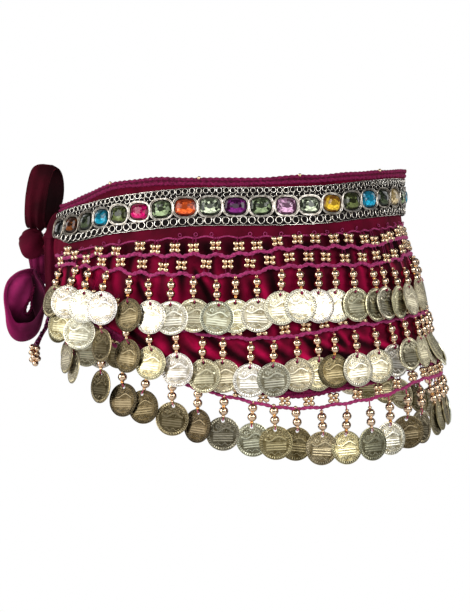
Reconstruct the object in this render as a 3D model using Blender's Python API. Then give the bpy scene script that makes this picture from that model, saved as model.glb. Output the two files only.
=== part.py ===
"""Velvet coin hip belt, worn: an open ring of velvet with a pointed hip panel, a
jewelled braid round the waist, three crochet nets with rows of bead-and-coin
pendants, and the ends tied in a bow at the wearer's side.

Metres, +Z up, front towards -Y. The origin is the middle of the waist ring, at
the braid's middle on the front. Sizes below are in millimetres.
"""

import math

import bmesh
import bpy
from mathutils import Vector

MM = 0.001
SEAM = 0.3  # gap between pieces that are sewn together

# Velvet, braid, nets and cords
VELVET = 2.0
EDGING_H, EDGING_T = 5.8, 2.0
BRAID_W, BRAID_T = 28.0, 2.2
STRIP_DROP = 7.3  # velvet that shows between the braid and the first net
NET_T = 2.0
CORD = 3.0
HEM_T, HEM_H = 2.2, 2.4
PENDANT = 42.0  # cord to the bottom of a coin
BEAD_REACH, COIN_REACH = 4.8, 4.0
GEMS = 37
GEM_W, GEM_H, GEM_T, GEM_SIDES = 15.6, 12.0, 3.2, 10

# The ring, in degrees round the waist: 0 is the front, 90 the +X side, and the
# tie is at the -X side, in the gap between the last column and the first.
RING_START, RING_END = -80.0, 254.0
BRAID_START, BRAID_END = -79.0, 253.0
COLUMNS = 64
TIE = -93.0

# A general figure from waist to hips: half the width, and the depth before and
# behind the side line, at heights above the origin.
FIGURE = {
    "height": (35, 0, -15, -30, -68, -107, -145, -168, -215),
    "half_width": (125, 125, 127.5, 132, 141, 149.5, 157.5, 160.5, 166),
    "front": (111, 112, 113, 115, 118, 120.5, 122, 122.5, 123),
    "back": (75, 76, 77.5, 80, 85, 91, 97, 99, 102),
}

# Heights of the belt's lines round the waist.
LINES = {
    "angle": (-80, -60, -45, -30, -15, 0, 15, 30, 45, 60, 75, 95, 120, 150, 180, 210, 235, 254),
    "top": (-1.5, 5.6, 12.8, 14.7, 14.6, 14.2, 15.2, 17.7, 20.2, 22.6, 24.8, 25.6, 24.2, 19.8, 14, 8, 3, -1.5),
    "braid": (-14.5, -10.5, -6.5, -3.6, -1.2, -0.8, -0.4, 1.3, 5, 8, 10, 10.5, 9, 5, 0, -6, -11, -14.5),
    "cord_1": (-34.5, -35, -35.6, -36, -36.4, -36.2, -31.4, -30.2, -29.2, -23.4, -21, -20, -21, -25, -30, -34, -35, -35),
    "cord_2": (-42.5, -43, -44.6, -49, -50.3, -50.8, -44.6, -43.2, -42.2, -37.6, -33.5, -33, -34, -38, -42, -44.5, -44, -43),
    "cord_3": (-59, -64, -70, -80, -90, -96, -94.8, -88.8, -85, -80.6, -78.3, -76, -72, -67, -62, -59.5, -59, -59),
    "hem": (-72, -79, -84.5, -101, -120, -131.4, -137, -131.8, -125, -116, -112.5, -108, -101, -88, -78, -73, -71, -70),
    "net_3_drop": (8, 8, 8, 8, 8, 8, 10, 12, 13, 13, 13.4, 13, 12, 10, 8.5, 8, 8, 8),
}

# The largest folds of the hip panel: where each ridge starts below the braid,
# where it meets the hem, how far it stands out, and half its width.
FOLDS = {
    "from": (-66, -52, -40, -30, -17, -4, 9, 24, 38, 55, 112, 131, 152, 173, 196, 219),
    "to": (-50, -36, -24, -8, 6, 17, 31, 43, 57, 66, 104, 126, 150, 176, 203, 226),
    "out": (2.2, 3.4, 2.6, 3.8, 3.0, 3.6, 2.4, 3.5, 3.0, 2.0, 2.4, 3.2, 3.6, 3.0, 3.4, 2.2),
    "half": (5, 7, 5, 8, 6, 7.5, 5, 8, 6.5, 5, 6, 8, 9, 7, 8, 6),
}
FOLD_ROOM = 3.9  # the deepest fold, which the nets clear


def column(table, key, name, at):
    """A table's value at a height or an angle, on a smooth curve through its rows."""
    xs, ys = table[key], table[name]
    if xs[0] > xs[-1]:
        xs, ys = xs[::-1], ys[::-1]
    at = min(max(at, xs[0]), xs[-1])
    i = max(k for k in range(len(xs) - 1) if xs[k] <= at)

    def slope(k):
        if k <= 0 or k >= len(xs) - 1:
            return 0.0
        return (ys[k + 1] - ys[k - 1]) / (xs[k + 1] - xs[k - 1])

    h = xs[i + 1] - xs[i]
    t = (at - xs[i]) / h
    return (
        (2 * t**3 - 3 * t**2 + 1) * ys[i]
        + (t**3 - 2 * t**2 + t) * h * slope(i)
        + (3 * t**2 - 2 * t**3) * ys[i + 1]
        + (t**3 - t**2) * h * slope(i + 1)
    )


def step(a, b, x):
    t = min(max((x - a) / (b - a), 0.0), 1.0)
    return t * t * (3 - 2 * t)


def line(name, angle):
    return column(LINES, "angle", name, angle)


def tie_pull(angle, height):
    """How far the ends of the waistband are drawn out towards the knot."""
    near = step(-56, -82, angle) + step(232, 256, angle)
    return 8.5 * near * step(-52, -20, height)


def room(angle):
    """The room for folds under the nets: full in front and behind, little at the sides."""
    side = max(step(58, 76, angle) * step(112, 96, angle), step(-62, -78, angle), step(228, 250, angle))
    return FOLD_ROOM - (FOLD_ROOM - 0.9) * side


def on_figure(angle, height, off):
    """A point this far out from the figure, in millimetres."""
    a = math.radians(angle)
    grow = off + tie_pull(angle, height)
    width = column(FIGURE, "height", "half_width", height) + grow
    depth = column(FIGURE, "height", "front" if math.cos(a) >= 0 else "back", height) + grow
    return Vector((width * math.sin(a), -depth * math.cos(a), height))


def strip_bottom(angle):
    return line("braid", angle) - BRAID_W / 2 - STRIP_DROP


def fold(angle, height):
    """How far the panel's folds stand out here."""
    top, bottom = strip_bottom(angle), line("hem", angle)
    t = (top - height) / (top - bottom)
    if t <= 0:
        return 0.0
    out = 0.0
    for start, end, depth, half in zip(*(FOLDS[k] for k in ("from", "to", "out", "half"))):
        out += depth * math.exp(-(((angle - start - (end - start) * t) / half) ** 2))
    return min(out, room(angle) - 0.4) * step(0, 0.35, t)


def material(name, colour, roughness, metallic=0.0):
    made = bpy.data.materials.new(name)
    made.use_nodes = True
    shader = made.node_tree.nodes["Principled BSDF"]
    shader.inputs["Base Color"].default_value = (*colour, 1)
    shader.inputs["Roughness"].default_value = roughness
    shader.inputs["Metallic"].default_value = metallic
    return made


def mesh_object(name, points, faces, made_of):
    mesh = bpy.data.meshes.new(name)
    mesh.from_pydata([Vector(p) * MM for p in points], [], faces)
    mesh.update()
    shape = bmesh.new()
    shape.from_mesh(mesh)
    bmesh.ops.recalc_face_normals(shape, faces=shape.faces)
    shape.to_mesh(mesh)
    shape.free()
    mesh.materials.append(made_of)
    mesh.shade_smooth()
    mesh.set_sharp_from_angle(angle=math.radians(40))
    made = bpy.data.objects.new(name, mesh)
    bpy.context.scene.collection.objects.link(made)
    return made


def wall(name, levels, made_of, start=RING_START, end=RING_END, columns=COLUMNS):
    """An open ring wall. Each level gives, at an angle, a height and how far out
    its inner and outer faces are, from the top of the wall down."""
    points, faces = [], []
    for c in range(columns + 1):
        angle = start + (end - start) * c / columns
        inner, outer = [], []
        for level in levels:
            height, near, far = level(angle)
            inner.append(on_figure(angle, height, near))
            outer.append(on_figure(angle, height, far))
        points += outer + inner[::-1]
    n = 2 * len(levels)
    for c in range(columns):
        for k in range(n):
            a, b = c * n + k, c * n + (k + 1) % n
            faces.append((a, b, b + n, a + n))
    last, rows = columns * n, len(levels)
    for k in range(rows - 1):  # each end, closed level by level
        faces.append((k, k + 1, n - 2 - k, n - 1 - k))
        faces.append((last + k, last + k + 1, last + n - 2 - k, last + n - 1 - k))
    return mesh_object(name, points, faces, made_of)


def level(height, near, far):
    """One level of a wall, from its height as a function of the angle."""
    return lambda angle: (height(angle), near, far)


def over_folds(height, near, far):
    """The same, standing clear of the panel's folds."""
    return lambda angle: (height(angle), near + room(angle), far + room(angle))


def ribbon(name, path, across, thickness, made_of, closed):
    """A velvet ribbon: across gives the vector from its middle to its edge at each point."""
    points, faces = [], []
    count = len(path)
    for i, (at, edge) in enumerate(zip(path, across)):
        before = path[(i - 1) % count] if closed or i else at
        after = path[(i + 1) % count] if closed or i < count - 1 else at
        out = (after - before).cross(edge).normalized() * thickness / 2
        points += [at - edge + out, at + edge + out, at + edge - out, at - edge - out]
    for i in range(count if closed else count - 1):
        a, b = 4 * i, 4 * ((i + 1) % count)
        for k in range(4):
            faces.append((a + k, a + (k + 1) % 4, b + (k + 1) % 4, b + k))
    if not closed:
        faces += [(0, 1, 2, 3), tuple(4 * (count - 1) + k for k in range(4))]
    return mesh_object(name, points, faces, made_of)


for old in list(bpy.data.objects):
    bpy.data.objects.remove(old)

velvet = material("velvet", (0.16, 0.008, 0.035), 0.85)
crochet = material("crochet", (0.36, 0.03, 0.16), 0.8)
braid = material("braid", (0.42, 0.38, 0.32), 0.4, 0.9)
glass = material("gem", (0.25, 0.35, 0.18), 0.1)
gold = material("gold", (0.75, 0.62, 0.38), 0.3, 1.0)
coin = material("coin", (0.68, 0.64, 0.44), 0.35, 1.0)

# Velvet panel: waistband and hip panel in one, thin wall, with its folds.
SHARES = (0.0, 0.18, 0.38, 0.58, 0.8, 1.0)  # rows between the strip and the hem


def panel_row(share):
    def row(angle):
        top, bottom = strip_bottom(angle), line("hem", angle)
        height = top + (bottom - top) * share
        out = fold(angle, height)
        return height, out, out + VELVET

    return row


wall(
    "velvet_panel",
    [
        level(lambda a: line("top", a), 0, VELVET),
        level(lambda a: line("braid", a), 0, VELVET),
        level(lambda a: line("braid", a) - BRAID_W / 2, 0, VELVET),
    ]
    + [panel_row(s) for s in SHARES],
    velvet,
)

# Crochet edgings, sewn to the panel's top edge and hem.
wall(
    "top_edging",
    [
        level(lambda a: line("top", a) + SEAM + EDGING_H, 0.2, EDGING_T),
        level(lambda a: line("top", a) + SEAM, 0, EDGING_T),
    ],
    crochet,
)


def hem_level(drop):
    def row(angle):
        height = line("hem", angle) - drop
        out = fold(angle, line("hem", angle))
        return height, out, out + HEM_T

    return row


wall("hem_edging", [hem_level(SEAM), hem_level(SEAM + HEM_H)], crochet)

# The braid lies on the panel, made from its points, moved out.
BRAID_IN = VELVET + SEAM
wall(
    "jewel_trim",
    [
        level(lambda a: line("braid", a) + BRAID_W / 2, BRAID_IN, BRAID_IN + BRAID_T),
        level(lambda a: line("braid", a), BRAID_IN, BRAID_IN + BRAID_T),
        level(lambda a: line("braid", a) - BRAID_W / 2, BRAID_IN, BRAID_IN + BRAID_T),
    ],
    braid,
    BRAID_START,
    BRAID_END,
)

# Stones, evenly spaced along the braid's middle.
GEM_IN = BRAID_IN + BRAID_T + SEAM


def gem_places():
    """The angle of each stone, at even steps along the braid's length."""
    steps = 1660
    angles = [BRAID_START + (BRAID_END - BRAID_START) * k / steps for k in range(steps + 1)]
    spots = [on_figure(a, line("braid", a), GEM_IN) for a in angles]
    along = [0.0]
    for p, q in zip(spots, spots[1:]):
        along.append(along[-1] + (q - p).length)
    places, k = [], 0
    for g in range(GEMS):
        wanted = along[-1] * (g + 0.5) / GEMS
        while along[k] < wanted:
            k += 1
        places.append(angles[k])
    return places


for g, angle in enumerate(gem_places()):
    middle = on_figure(angle, line("braid", angle), GEM_IN + 0.25)
    along = on_figure(angle + 1, line("braid", angle + 1), GEM_IN) - on_figure(
        angle - 1, line("braid", angle - 1), GEM_IN
    )
    up = on_figure(angle, line("braid", angle) + 5, GEM_IN) - on_figure(angle, line("braid", angle) - 5, GEM_IN)
    along.normalize()
    out = along.cross(up).normalized()
    up = out.cross(along)
    points = []
    for share, lift in ((0.94, 0.0), (1.0, 0.4), (0.6, 1.0)):
        for k in range(GEM_SIDES):
            turn = 2 * math.pi * (k + 0.5) / GEM_SIDES
            c, s = math.cos(turn), math.sin(turn)
            x = math.copysign(abs(c) ** 0.75, c) * GEM_W / 2 * share
            y = math.copysign(abs(s) ** 0.75, s) * GEM_H / 2 * share
            points.append(middle + along * x + up * y + out * GEM_T * lift)
    faces = [tuple(range(GEM_SIDES)), tuple(2 * GEM_SIDES + k for k in range(GEM_SIDES))]
    for ring in (0, GEM_SIDES):
        for k in range(GEM_SIDES):
            m = (k + 1) % GEM_SIDES
            faces.append((ring + k, ring + m, ring + GEM_SIDES + m, ring + GEM_SIDES + k))
    mesh_object(f"gem_{g + 1:02d}", points, faces, glass)

# Nets and fringes end a little short of the panel's ends.
NET = dict(start=-70.0, end=246.0)
NET_IN = VELVET + SEAM


def net(name, top, bottom):
    wall(name, [over_folds(top, NET_IN, NET_IN + NET_T), over_folds(bottom, NET_IN, NET_IN + NET_T)], crochet, **NET)


def cord(name, height):
    wall(
        name,
        [
            over_folds(lambda a: height(a) + CORD / 2, NET_IN, NET_IN + CORD),
            over_folds(lambda a: height(a) - CORD / 2, NET_IN, NET_IN + CORD),
        ],
        crochet,
        **NET,
    )


def fringe(name, cord_height, insets):
    """Pendants as one plain solid of their reach: share of the drop, inner and outer face."""
    levels = []
    for share, near, far in insets:
        levels.append(
            over_folds(
                lambda a, s=share: cord_height(a) - (CORD / 2 + SEAM + 0.1) - (PENDANT - CORD / 2) * s, near, far
            )
        )
    wall(name, levels, coin, **NET)


def cord_1(a):
    return line("cord_1", a)


def cord_2(a):
    return line("cord_2", a)


def cord_3(a):
    return line("cord_3", a)


def cord_4(a):
    return line("hem", a) - line("net_3_drop", a)


HALF = CORD / 2 + SEAM
net("net_1a", lambda a: max(strip_bottom(a), cord_1(a) + HALF + 2.0), lambda a: cord_1(a) + HALF)
cord("cord_1", cord_1)
net("net_1b", lambda a: cord_1(a) - HALF, lambda a: cord_2(a) + HALF)
cord("cord_2", cord_2)
ROW_1 = NET_IN + BEAD_REACH + SEAM + 0.5
fringe(
    "fringe_1",
    cord_2,
    ((0.0, NET_IN, ROW_1 + 2.0), (0.14, NET_IN, ROW_1 + 2.4), (0.26, ROW_1, ROW_1 + 3.4), (0.6, ROW_1, ROW_1 + COIN_REACH), (1.0, ROW_1, ROW_1 + COIN_REACH)),
)

net(
    "net_2",
    lambda a: min(cord_3(a) + HALF + 11.0, cord_2(a) - HALF - (PENDANT - CORD / 2) * 0.26 - 2 * SEAM),
    lambda a: cord_3(a) + HALF,
)
cord("cord_3", cord_3)
fringe(
    "fringe_2",
    cord_3,
    ((0.0, NET_IN, NET_IN + BEAD_REACH - 0.4), (0.5, NET_IN, NET_IN + BEAD_REACH), (1.0, NET_IN, NET_IN + BEAD_REACH)),
)

# The third net and its fringe hang straight down from the hem, inside the others' line.


def below_hem(height, near, far):
    def row(angle):
        out = 0.35 * fold(angle, line("hem", angle))
        most = NET_IN + room(angle) - SEAM
        return height(angle), min(near + out, most - 1.5), min(far + out, most)

    return row


wall(
    "net_3",
    [
        below_hem(lambda a: line("hem", a) - 2 * SEAM - HEM_H, 0.4, 0.4 + NET_T),
        below_hem(lambda a: cord_4(a) + HALF, 0.4, 0.4 + NET_T),
    ],
    crochet,
    **NET,
)
wall(
    "cord_4",
    [
        below_hem(lambda a: cord_4(a) + CORD / 2, 0, CORD),
        below_hem(lambda a: cord_4(a) - CORD / 2, 0, CORD),
    ],
    crochet,
    **NET,
)
wall(
    "fringe_3",
    [
        below_hem(lambda a: cord_4(a) - HALF - 0.1, -1.6, BEAD_REACH - 1.6),
        below_hem(lambda a: cord_4(a) - PENDANT, -1.6, COIN_REACH - 0.8),
    ],
    coin,
    **NET,
)

# The bow at the -X side. Its knot, two loops, a hanging tail and a thin tie cord.
KNOT = Vector((-155.5, -1.0, -25.0))
KNOT_SIZE = Vector((10.2, 10.5, 12.4))
sphere = bmesh.new()
bmesh.ops.create_icosphere(sphere, subdivisions=2, radius=1.0)
for v in sphere.verts:
    v.co = Vector(
        (v.co.x * KNOT_SIZE.x, v.co.y * KNOT_SIZE.y, v.co.z * KNOT_SIZE.z * (1 - 0.08 * v.co.x))
    )
    v.co = (v.co + KNOT) * MM
knot_mesh = bpy.data.meshes.new("bow_knot")
sphere.to_mesh(knot_mesh)
sphere.free()
knot_mesh.materials.append(velvet)
knot_mesh.shade_smooth()
bpy.context.scene.collection.objects.link(bpy.data.objects.new("bow_knot", knot_mesh))

LOOP_T = 2.4
LOOP_POINTS = 22

# Upper loop: up the front, over, and down behind, its back half further to +X.
path, across = [], []
for k in range(LOOP_POINTS):
    turn = 2 * math.pi * k / LOOP_POINTS
    up, front = math.sin(turn), math.cos(turn)
    high = 0.5 + 0.5 * up
    x = -145.0 - 5.6 * front - 5.0 * (1 - high) ** 2
    path.append(Vector((x, -1.0 - (3.6 + 6.6 * high) * front, 12.6 + 22.6 * up)))
    across.append(Vector((5.6 + 2.8 * min(1, 2 * high), 0.0, 0.0)))
ribbon("bow_loop_upper", path, across, LOOP_T, velvet, closed=True)

# Lower loop: a round band whose axis leans up and forward, so its front rim hangs
# low and shows the hollow behind it. It is gathered where it meets the neck.
LOOP_LEAN = math.radians(31)
LOOP_AT = Vector((-162.6, 1.0, -71.2))
axis = Vector((0, -math.cos(LOOP_LEAN), math.sin(LOOP_LEAN)))
rise = Vector((0, math.sin(LOOP_LEAN), math.cos(LOOP_LEAN)))
path, across = [], []
for k in range(LOOP_POINTS):
    turn = 2 * math.pi * k / LOOP_POINTS
    c, s = math.cos(turn), math.sin(turn)
    gathered = (0.5 + 0.5 * s) ** 3
    side = Vector((11.0 * gathered + 15.4 * (1 - 0.45 * gathered) * c, 0, 0))
    path.append(LOOP_AT + side + rise * (27.0 * s) - Vector((0, 9.0 * gathered, 0)))
    across.append(axis * (9.6 * (1 - 0.55 * gathered)) + Vector((1.0 * c, 0, 0)))
ribbon("bow_loop_lower", path, across, LOOP_T, velvet, closed=True)

# The neck between the knot and the lower loop, where the ribbon is gathered.
path = [Vector((-152.6 + 0.5 * t, 0.6 + 0.5 * t, -38.0 - 2.6 * t)) for t in range(3)]
across = [Vector((5.2, 0.0, 0.0)) for t in range(3)]
ribbon("bow_neck", path, across, 8.0, velvet, closed=False)

# The panel's two ends, drawn from the ring into the knot.
for name, angle, reach in (("tie_end_front", RING_START, -1), ("tie_end_back", RING_END, 1)):
    path, across = [], []
    start = on_figure(angle + (reach * 0.6), -15.0, VELVET / 2)
    end = KNOT + Vector((10.9, 5.4 * reach, 0.6))
    for t in range(6):
        u = t / 5
        spot = start.lerp(end, u)
        spot.x -= 1.6 * math.sin(math.pi * u)
        spot.z = -15.0 + (end.z + 15.0) * step(0, 1, u)
        path.append(spot)
        across.append(Vector((0, 0, 13.5 - 6.0 * step(0, 1, u))))
    ribbon(name, path, across, VELVET, velvet, closed=False)

# Tail: a velvet end hanging straight down beside the knot.
path = [Vector((-140.6 - 0.5 * math.sin(t * 1.1), -13.6 - 0.3 * t, -32.4 - 7.0 * t)) for t in range(7)]
across = [Vector((4.2 + 0.1 * t, -0.6, 0)) for t in range(7)]
ribbon("tie_tail", path, across, VELVET, velvet, closed=False)

# Tie cord: thin beaded crochet, from the knot behind the lower loop to its end beads.
TIE_CORD = {
    "x": (-150.0, -145.5, -143.6, -144.0, -146.6, -151.0, -154.2, -155.4),
    "y": (13.2, 16.0, 22.0, 24.0, 21.0, 12.0, 5.0, 3.0),
    "height": (-28, -42, -58, -76, -88, -97, -105, -115),
}
data = bpy.data.curves.new("tie_cord", "CURVE")
data.dimensions = "3D"
data.bevel_depth = 2.4 * MM
data.bevel_resolution = 2
data.use_fill_caps = True
spline = data.splines.new("POLY")
COUNT = 11
spline.points.add(COUNT - 1)
for k in range(COUNT):
    down = TIE_CORD["height"][0] + (TIE_CORD["height"][-1] - TIE_CORD["height"][0]) * k / (COUNT - 1)
    x = column(TIE_CORD, "height", "x", down)
    y = column(TIE_CORD, "height", "y", down)
    spline.points[k].co = (x * MM, y * MM, down * MM, 1)
data.materials.append(crochet)
bpy.context.scene.collection.objects.link(bpy.data.objects.new("tie_cord", data))
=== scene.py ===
"""Velvet coin hip belt: velvet, crochet nets, beads, coins, jewelled braid and bow.

Sizes are in millimetres until a mesh is made. The form's tables and routes repeat
the CAD part's. The front is towards -Y and the tie is at -X.
"""

import math
import random

import bpy
import numpy as np
from mathutils import Matrix, Vector
from mathutils.geometry import delaunay_2d_cdt


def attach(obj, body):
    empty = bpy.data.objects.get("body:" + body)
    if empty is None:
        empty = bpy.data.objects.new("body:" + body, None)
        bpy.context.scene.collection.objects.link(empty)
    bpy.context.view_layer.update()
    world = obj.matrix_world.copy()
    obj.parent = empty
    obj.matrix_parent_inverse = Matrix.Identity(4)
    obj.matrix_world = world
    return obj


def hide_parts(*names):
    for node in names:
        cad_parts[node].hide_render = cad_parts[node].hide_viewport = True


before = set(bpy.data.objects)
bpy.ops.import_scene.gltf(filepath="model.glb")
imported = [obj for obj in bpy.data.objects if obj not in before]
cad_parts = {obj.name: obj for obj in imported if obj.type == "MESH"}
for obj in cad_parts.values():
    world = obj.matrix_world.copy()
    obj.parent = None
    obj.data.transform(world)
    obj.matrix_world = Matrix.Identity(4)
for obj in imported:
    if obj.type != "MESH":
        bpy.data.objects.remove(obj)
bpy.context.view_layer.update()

MM = 0.001
rng = random.Random(7)

# ---------------------------------------------------------------- camera

camera_data = bpy.data.cameras.new("camera")
camera = bpy.data.objects.new("camera", camera_data)
bpy.context.scene.collection.objects.link(camera)
camera.location = (0, -1.90, -0.073)
camera.rotation_euler = (math.radians(90), 0, 0)
camera_data.lens = 145
camera_data.sensor_width = 36
camera_data.sensor_fit = "AUTO"
camera_data.clip_end = 50
bpy.context.scene.camera = camera

# ---------------------------------------------------------------- the belt's form

VELVET = 2.0
EDGING_H = 5.8
BRAID_W, BRAID_T = 28.0, 2.2
STRIP_DROP = 7.3
CORD = 3.0
GEMS = 37
RING_START, RING_END = -80.0, 254.0
BRAID_START, BRAID_END = -79.0, 253.0
NET_START, NET_END = -70.0, 246.0
NET_IN = 2.3
ROW_1 = 7.9

FIGURE = {
    "height": (35, 0, -15, -30, -68, -107, -145, -168, -215),
    "half_width": (125, 125, 127.5, 132, 141, 149.5, 157.5, 160.5, 166),
    "front": (111, 112, 113, 115, 118, 120.5, 122, 122.5, 123),
    "back": (75, 76, 77.5, 80, 85, 91, 97, 99, 102),
}
LINES = {
    "angle": (-80, -60, -45, -30, -15, 0, 15, 30, 45, 60, 75, 95, 120, 150, 180, 210, 235, 254),
    "top": (-1.5, 5.6, 12.8, 14.7, 14.6, 14.2, 15.2, 17.7, 20.2, 22.6, 24.8, 25.6, 24.2, 19.8, 14, 8, 3, -1.5),
    "braid": (-14.5, -10.5, -6.5, -3.6, -1.2, -0.8, -0.4, 1.3, 5, 8, 10, 10.5, 9, 5, 0, -6, -11, -14.5),
    "cord_1": (-34.5, -35, -35.6, -36, -36.4, -36.2, -31.4, -30.2, -29.2, -23.4, -21, -20, -21, -25, -30, -34, -35, -35),
    "cord_2": (-42.5, -43, -44.6, -49, -50.3, -50.8, -44.6, -43.2, -42.2, -37.6, -33.5, -33, -34, -38, -42, -44.5, -44, -43),
    "cord_3": (-59, -64, -70, -80, -90, -96, -94.8, -88.8, -85, -80.6, -78.3, -76, -72, -67, -62, -59.5, -59, -59),
    "hem": (-72, -79, -84.5, -101, -120, -131.4, -137, -131.8, -125, -116, -112.5, -108, -101, -88, -78, -73, -71, -70),
    "net_3_drop": (8, 8, 8, 8, 8, 8, 10, 12, 13, 13, 13.4, 13, 12, 10, 8.5, 8, 8, 8),
}
FOLDS = {
    "from": (-66, -52, -40, -30, -17, -4, 9, 24, 38, 55, 112, 131, 152, 173, 196, 219),
    "to": (-50, -36, -24, -8, 6, 17, 31, 43, 57, 66, 104, 126, 150, 176, 203, 226),
    "out": (2.2, 3.4, 2.6, 3.8, 3.0, 3.6, 2.4, 3.5, 3.0, 2.0, 2.4, 3.2, 3.6, 3.0, 3.4, 2.2),
    "half": (5, 7, 5, 8, 6, 7.5, 5, 8, 6.5, 5, 6, 8, 9, 7, 8, 6),
}
FOLD_ROOM = 3.9


def column(table, key, name, at):
    xs, ys = table[key], table[name]
    if xs[0] > xs[-1]:
        xs, ys = xs[::-1], ys[::-1]
    at = min(max(at, xs[0]), xs[-1])
    i = max(k for k in range(len(xs) - 1) if xs[k] <= at)

    def slope(k):
        if k <= 0 or k >= len(xs) - 1:
            return 0.0
        return (ys[k + 1] - ys[k - 1]) / (xs[k + 1] - xs[k - 1])

    h = xs[i + 1] - xs[i]
    t = (at - xs[i]) / h
    return (
        (2 * t**3 - 3 * t**2 + 1) * ys[i]
        + (t**3 - 2 * t**2 + t) * h * slope(i)
        + (3 * t**2 - 2 * t**3) * ys[i + 1]
        + (t**3 - t**2) * h * slope(i + 1)
    )


def step(a, b, x):
    t = min(max((x - a) / (b - a), 0.0), 1.0)
    return t * t * (3 - 2 * t)


def over_hip(angle):
    """One over the +X hip, where the band stands off a little at the top, the lower
    nets stand off and the upper nets and row lie close."""
    return step(60, 84, angle) * step(120, 98, angle)


def line(name, angle):
    return column(LINES, "angle", name, angle)


def tie_pull(angle, height):
    near = step(-56, -82, angle) + step(232, 256, angle)
    return 8.5 * near * step(-52, -20, height)


def room(angle):
    side = max(step(58, 76, angle) * step(112, 96, angle), step(-62, -78, angle), step(228, 250, angle))
    return FOLD_ROOM - (FOLD_ROOM - 0.9) * side


def on_figure(angle, height, off):
    a = math.radians(angle)
    grow = off + tie_pull(angle, height)
    width = column(FIGURE, "height", "half_width", height) + grow
    depth = column(FIGURE, "height", "front" if math.cos(a) >= 0 else "back", height) + grow
    return np.array((width * math.sin(a), -depth * math.cos(a), height))


def strip_bottom(angle):
    return line("braid", angle) - BRAID_W / 2 - STRIP_DROP


def fold(angle, height):
    top, bottom = strip_bottom(angle), line("hem", angle)
    t = (top - height) / (top - bottom)
    if t <= 0:
        return 0.0
    out = 0.0
    for start, end, depth, half in zip(*(FOLDS[k] for k in ("from", "to", "out", "half"))):
        out += depth * math.exp(-(((angle - start - (end - start) * t) / half) ** 2))
    return min(out, room(angle) - 0.4) * step(0, 0.35, t)


def unit(v):
    return v / max(np.linalg.norm(v), 1e-9)


def frame_at(angle, height, off):
    """A point on the form, with the directions along the belt, up and out."""
    spot = on_figure(angle, height, off)
    along = unit(on_figure(angle + 0.5, height, off) - on_figure(angle - 0.5, height, off))
    up = on_figure(angle, height + 2, off) - on_figure(angle, height - 2, off)
    out = unit(np.cross(along, up))
    return spot, along, np.cross(out, along), out


def at_pixel(px, py, off):
    """The angle and height on the form's front that this spot of the view shows."""
    y = -110.0
    angle = 0.0
    for _ in range(12):
        scale = 2467.5 / (1900.0 + y)
        x = (px - 235.0) / scale
        height = -73.0 + (306.0 - py) / scale
        width = column(FIGURE, "height", "half_width", height) + off + tie_pull(angle, height)
        angle = math.degrees(math.asin(min(max(x / width, -0.9995), 0.9995)))
        y = on_figure(angle, height, off)[1]
    return angle, height


# ---------------------------------------------------------------- meshes


def mesh_from(name, points, loops, totals, materials, slots=None, uvs=None, tints=None, sharp=None):
    mesh = bpy.data.meshes.new(name)
    points = np.asarray(points, dtype=np.float64) * MM
    loops = np.asarray(loops, dtype=np.int32)
    totals = np.asarray(totals, dtype=np.int32)
    mesh.vertices.add(len(points))
    mesh.loops.add(len(loops))
    mesh.polygons.add(len(totals))
    mesh.vertices.foreach_set("co", points.astype(np.float32).ravel())
    mesh.loops.foreach_set("vertex_index", loops)
    mesh.polygons.foreach_set("loop_start", np.concatenate(([0], np.cumsum(totals)[:-1])).astype(np.int32))
    if slots is not None:
        mesh.polygons.foreach_set("material_index", np.asarray(slots, dtype=np.int32))
    mesh.update(calc_edges=True)
    mesh.validate()
    if uvs is not None:
        layer = mesh.uv_layers.new(name="face")
        layer.data.foreach_set("uv", np.asarray(uvs, dtype=np.float32).ravel())
    if tints is not None:
        layer = mesh.color_attributes.new("tint", "FLOAT_COLOR", "POINT")
        full = np.ones((len(points), 4), dtype=np.float32)
        full[:, :3] = tints
        layer.data.foreach_set("color", full.ravel())
    for made_of in materials:
        mesh.materials.append(made_of)
    mesh.shade_smooth()
    if sharp:
        mesh.set_sharp_from_angle(angle=math.radians(sharp))
    made = bpy.data.objects.new(name, mesh)
    bpy.context.scene.collection.objects.link(made)
    return made


class Pile:
    """Many shapes joined in one mesh."""

    def __init__(self):
        self.points, self.loops, self.totals = [], [], []
        self.slots, self.uvs, self.tints = [], [], []
        self.count = 0

    def add(self, shape, turn=None, at=(0, 0, 0), tint=(1, 1, 1), slot=0):
        points, loops, totals, uvs = shape
        placed = points if turn is None else points @ turn.T
        self.points.append(placed + np.asarray(at))
        self.loops.append(loops + self.count)
        self.totals.append(totals)
        self.slots.append(np.full(len(totals), slot))
        self.uvs.append(np.zeros((len(loops), 2)) if uvs is None else uvs)
        tints = np.asarray(tint, dtype=float)
        self.tints.append(np.tile(tints, (len(points), 1)) if tints.ndim == 1 else tints)
        self.count += len(points)

    def make(self, name, materials, sharp=None, uv=False, tint=False):
        return mesh_from(
            name,
            np.concatenate(self.points),
            np.concatenate(self.loops),
            np.concatenate(self.totals),
            materials,
            np.concatenate(self.slots),
            np.concatenate(self.uvs) if uv else None,
            np.concatenate(self.tints) if tint else None,
            sharp,
        )


def shape_of(points, faces, uvs=None):
    loops = np.array([i for f in faces for i in f], dtype=np.int32)
    totals = np.array([len(f) for f in faces], dtype=np.int32)
    return np.asarray(points, dtype=float), loops, totals, uvs


def ball(rx, ry, rz, around=12, rings=8):
    points = [(0, 0, rz)]
    for r in range(1, rings):
        a = math.pi * r / rings
        for k in range(around):
            b = 2 * math.pi * k / around
            points.append((rx * math.sin(a) * math.cos(b), ry * math.sin(a) * math.sin(b), rz * math.cos(a)))
    points.append((0, 0, -rz))
    faces = []
    for k in range(around):
        m = (k + 1) % around
        faces.append((0, 1 + k, 1 + m))
        for r in range(rings - 2):
            a = 1 + r * around
            faces.append((a + k, a + around + k, a + around + m, a + m))
        a = 1 + (rings - 2) * around
        faces.append((a + k, len(points) - 1, a + m))
    return shape_of(points, faces)


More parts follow.
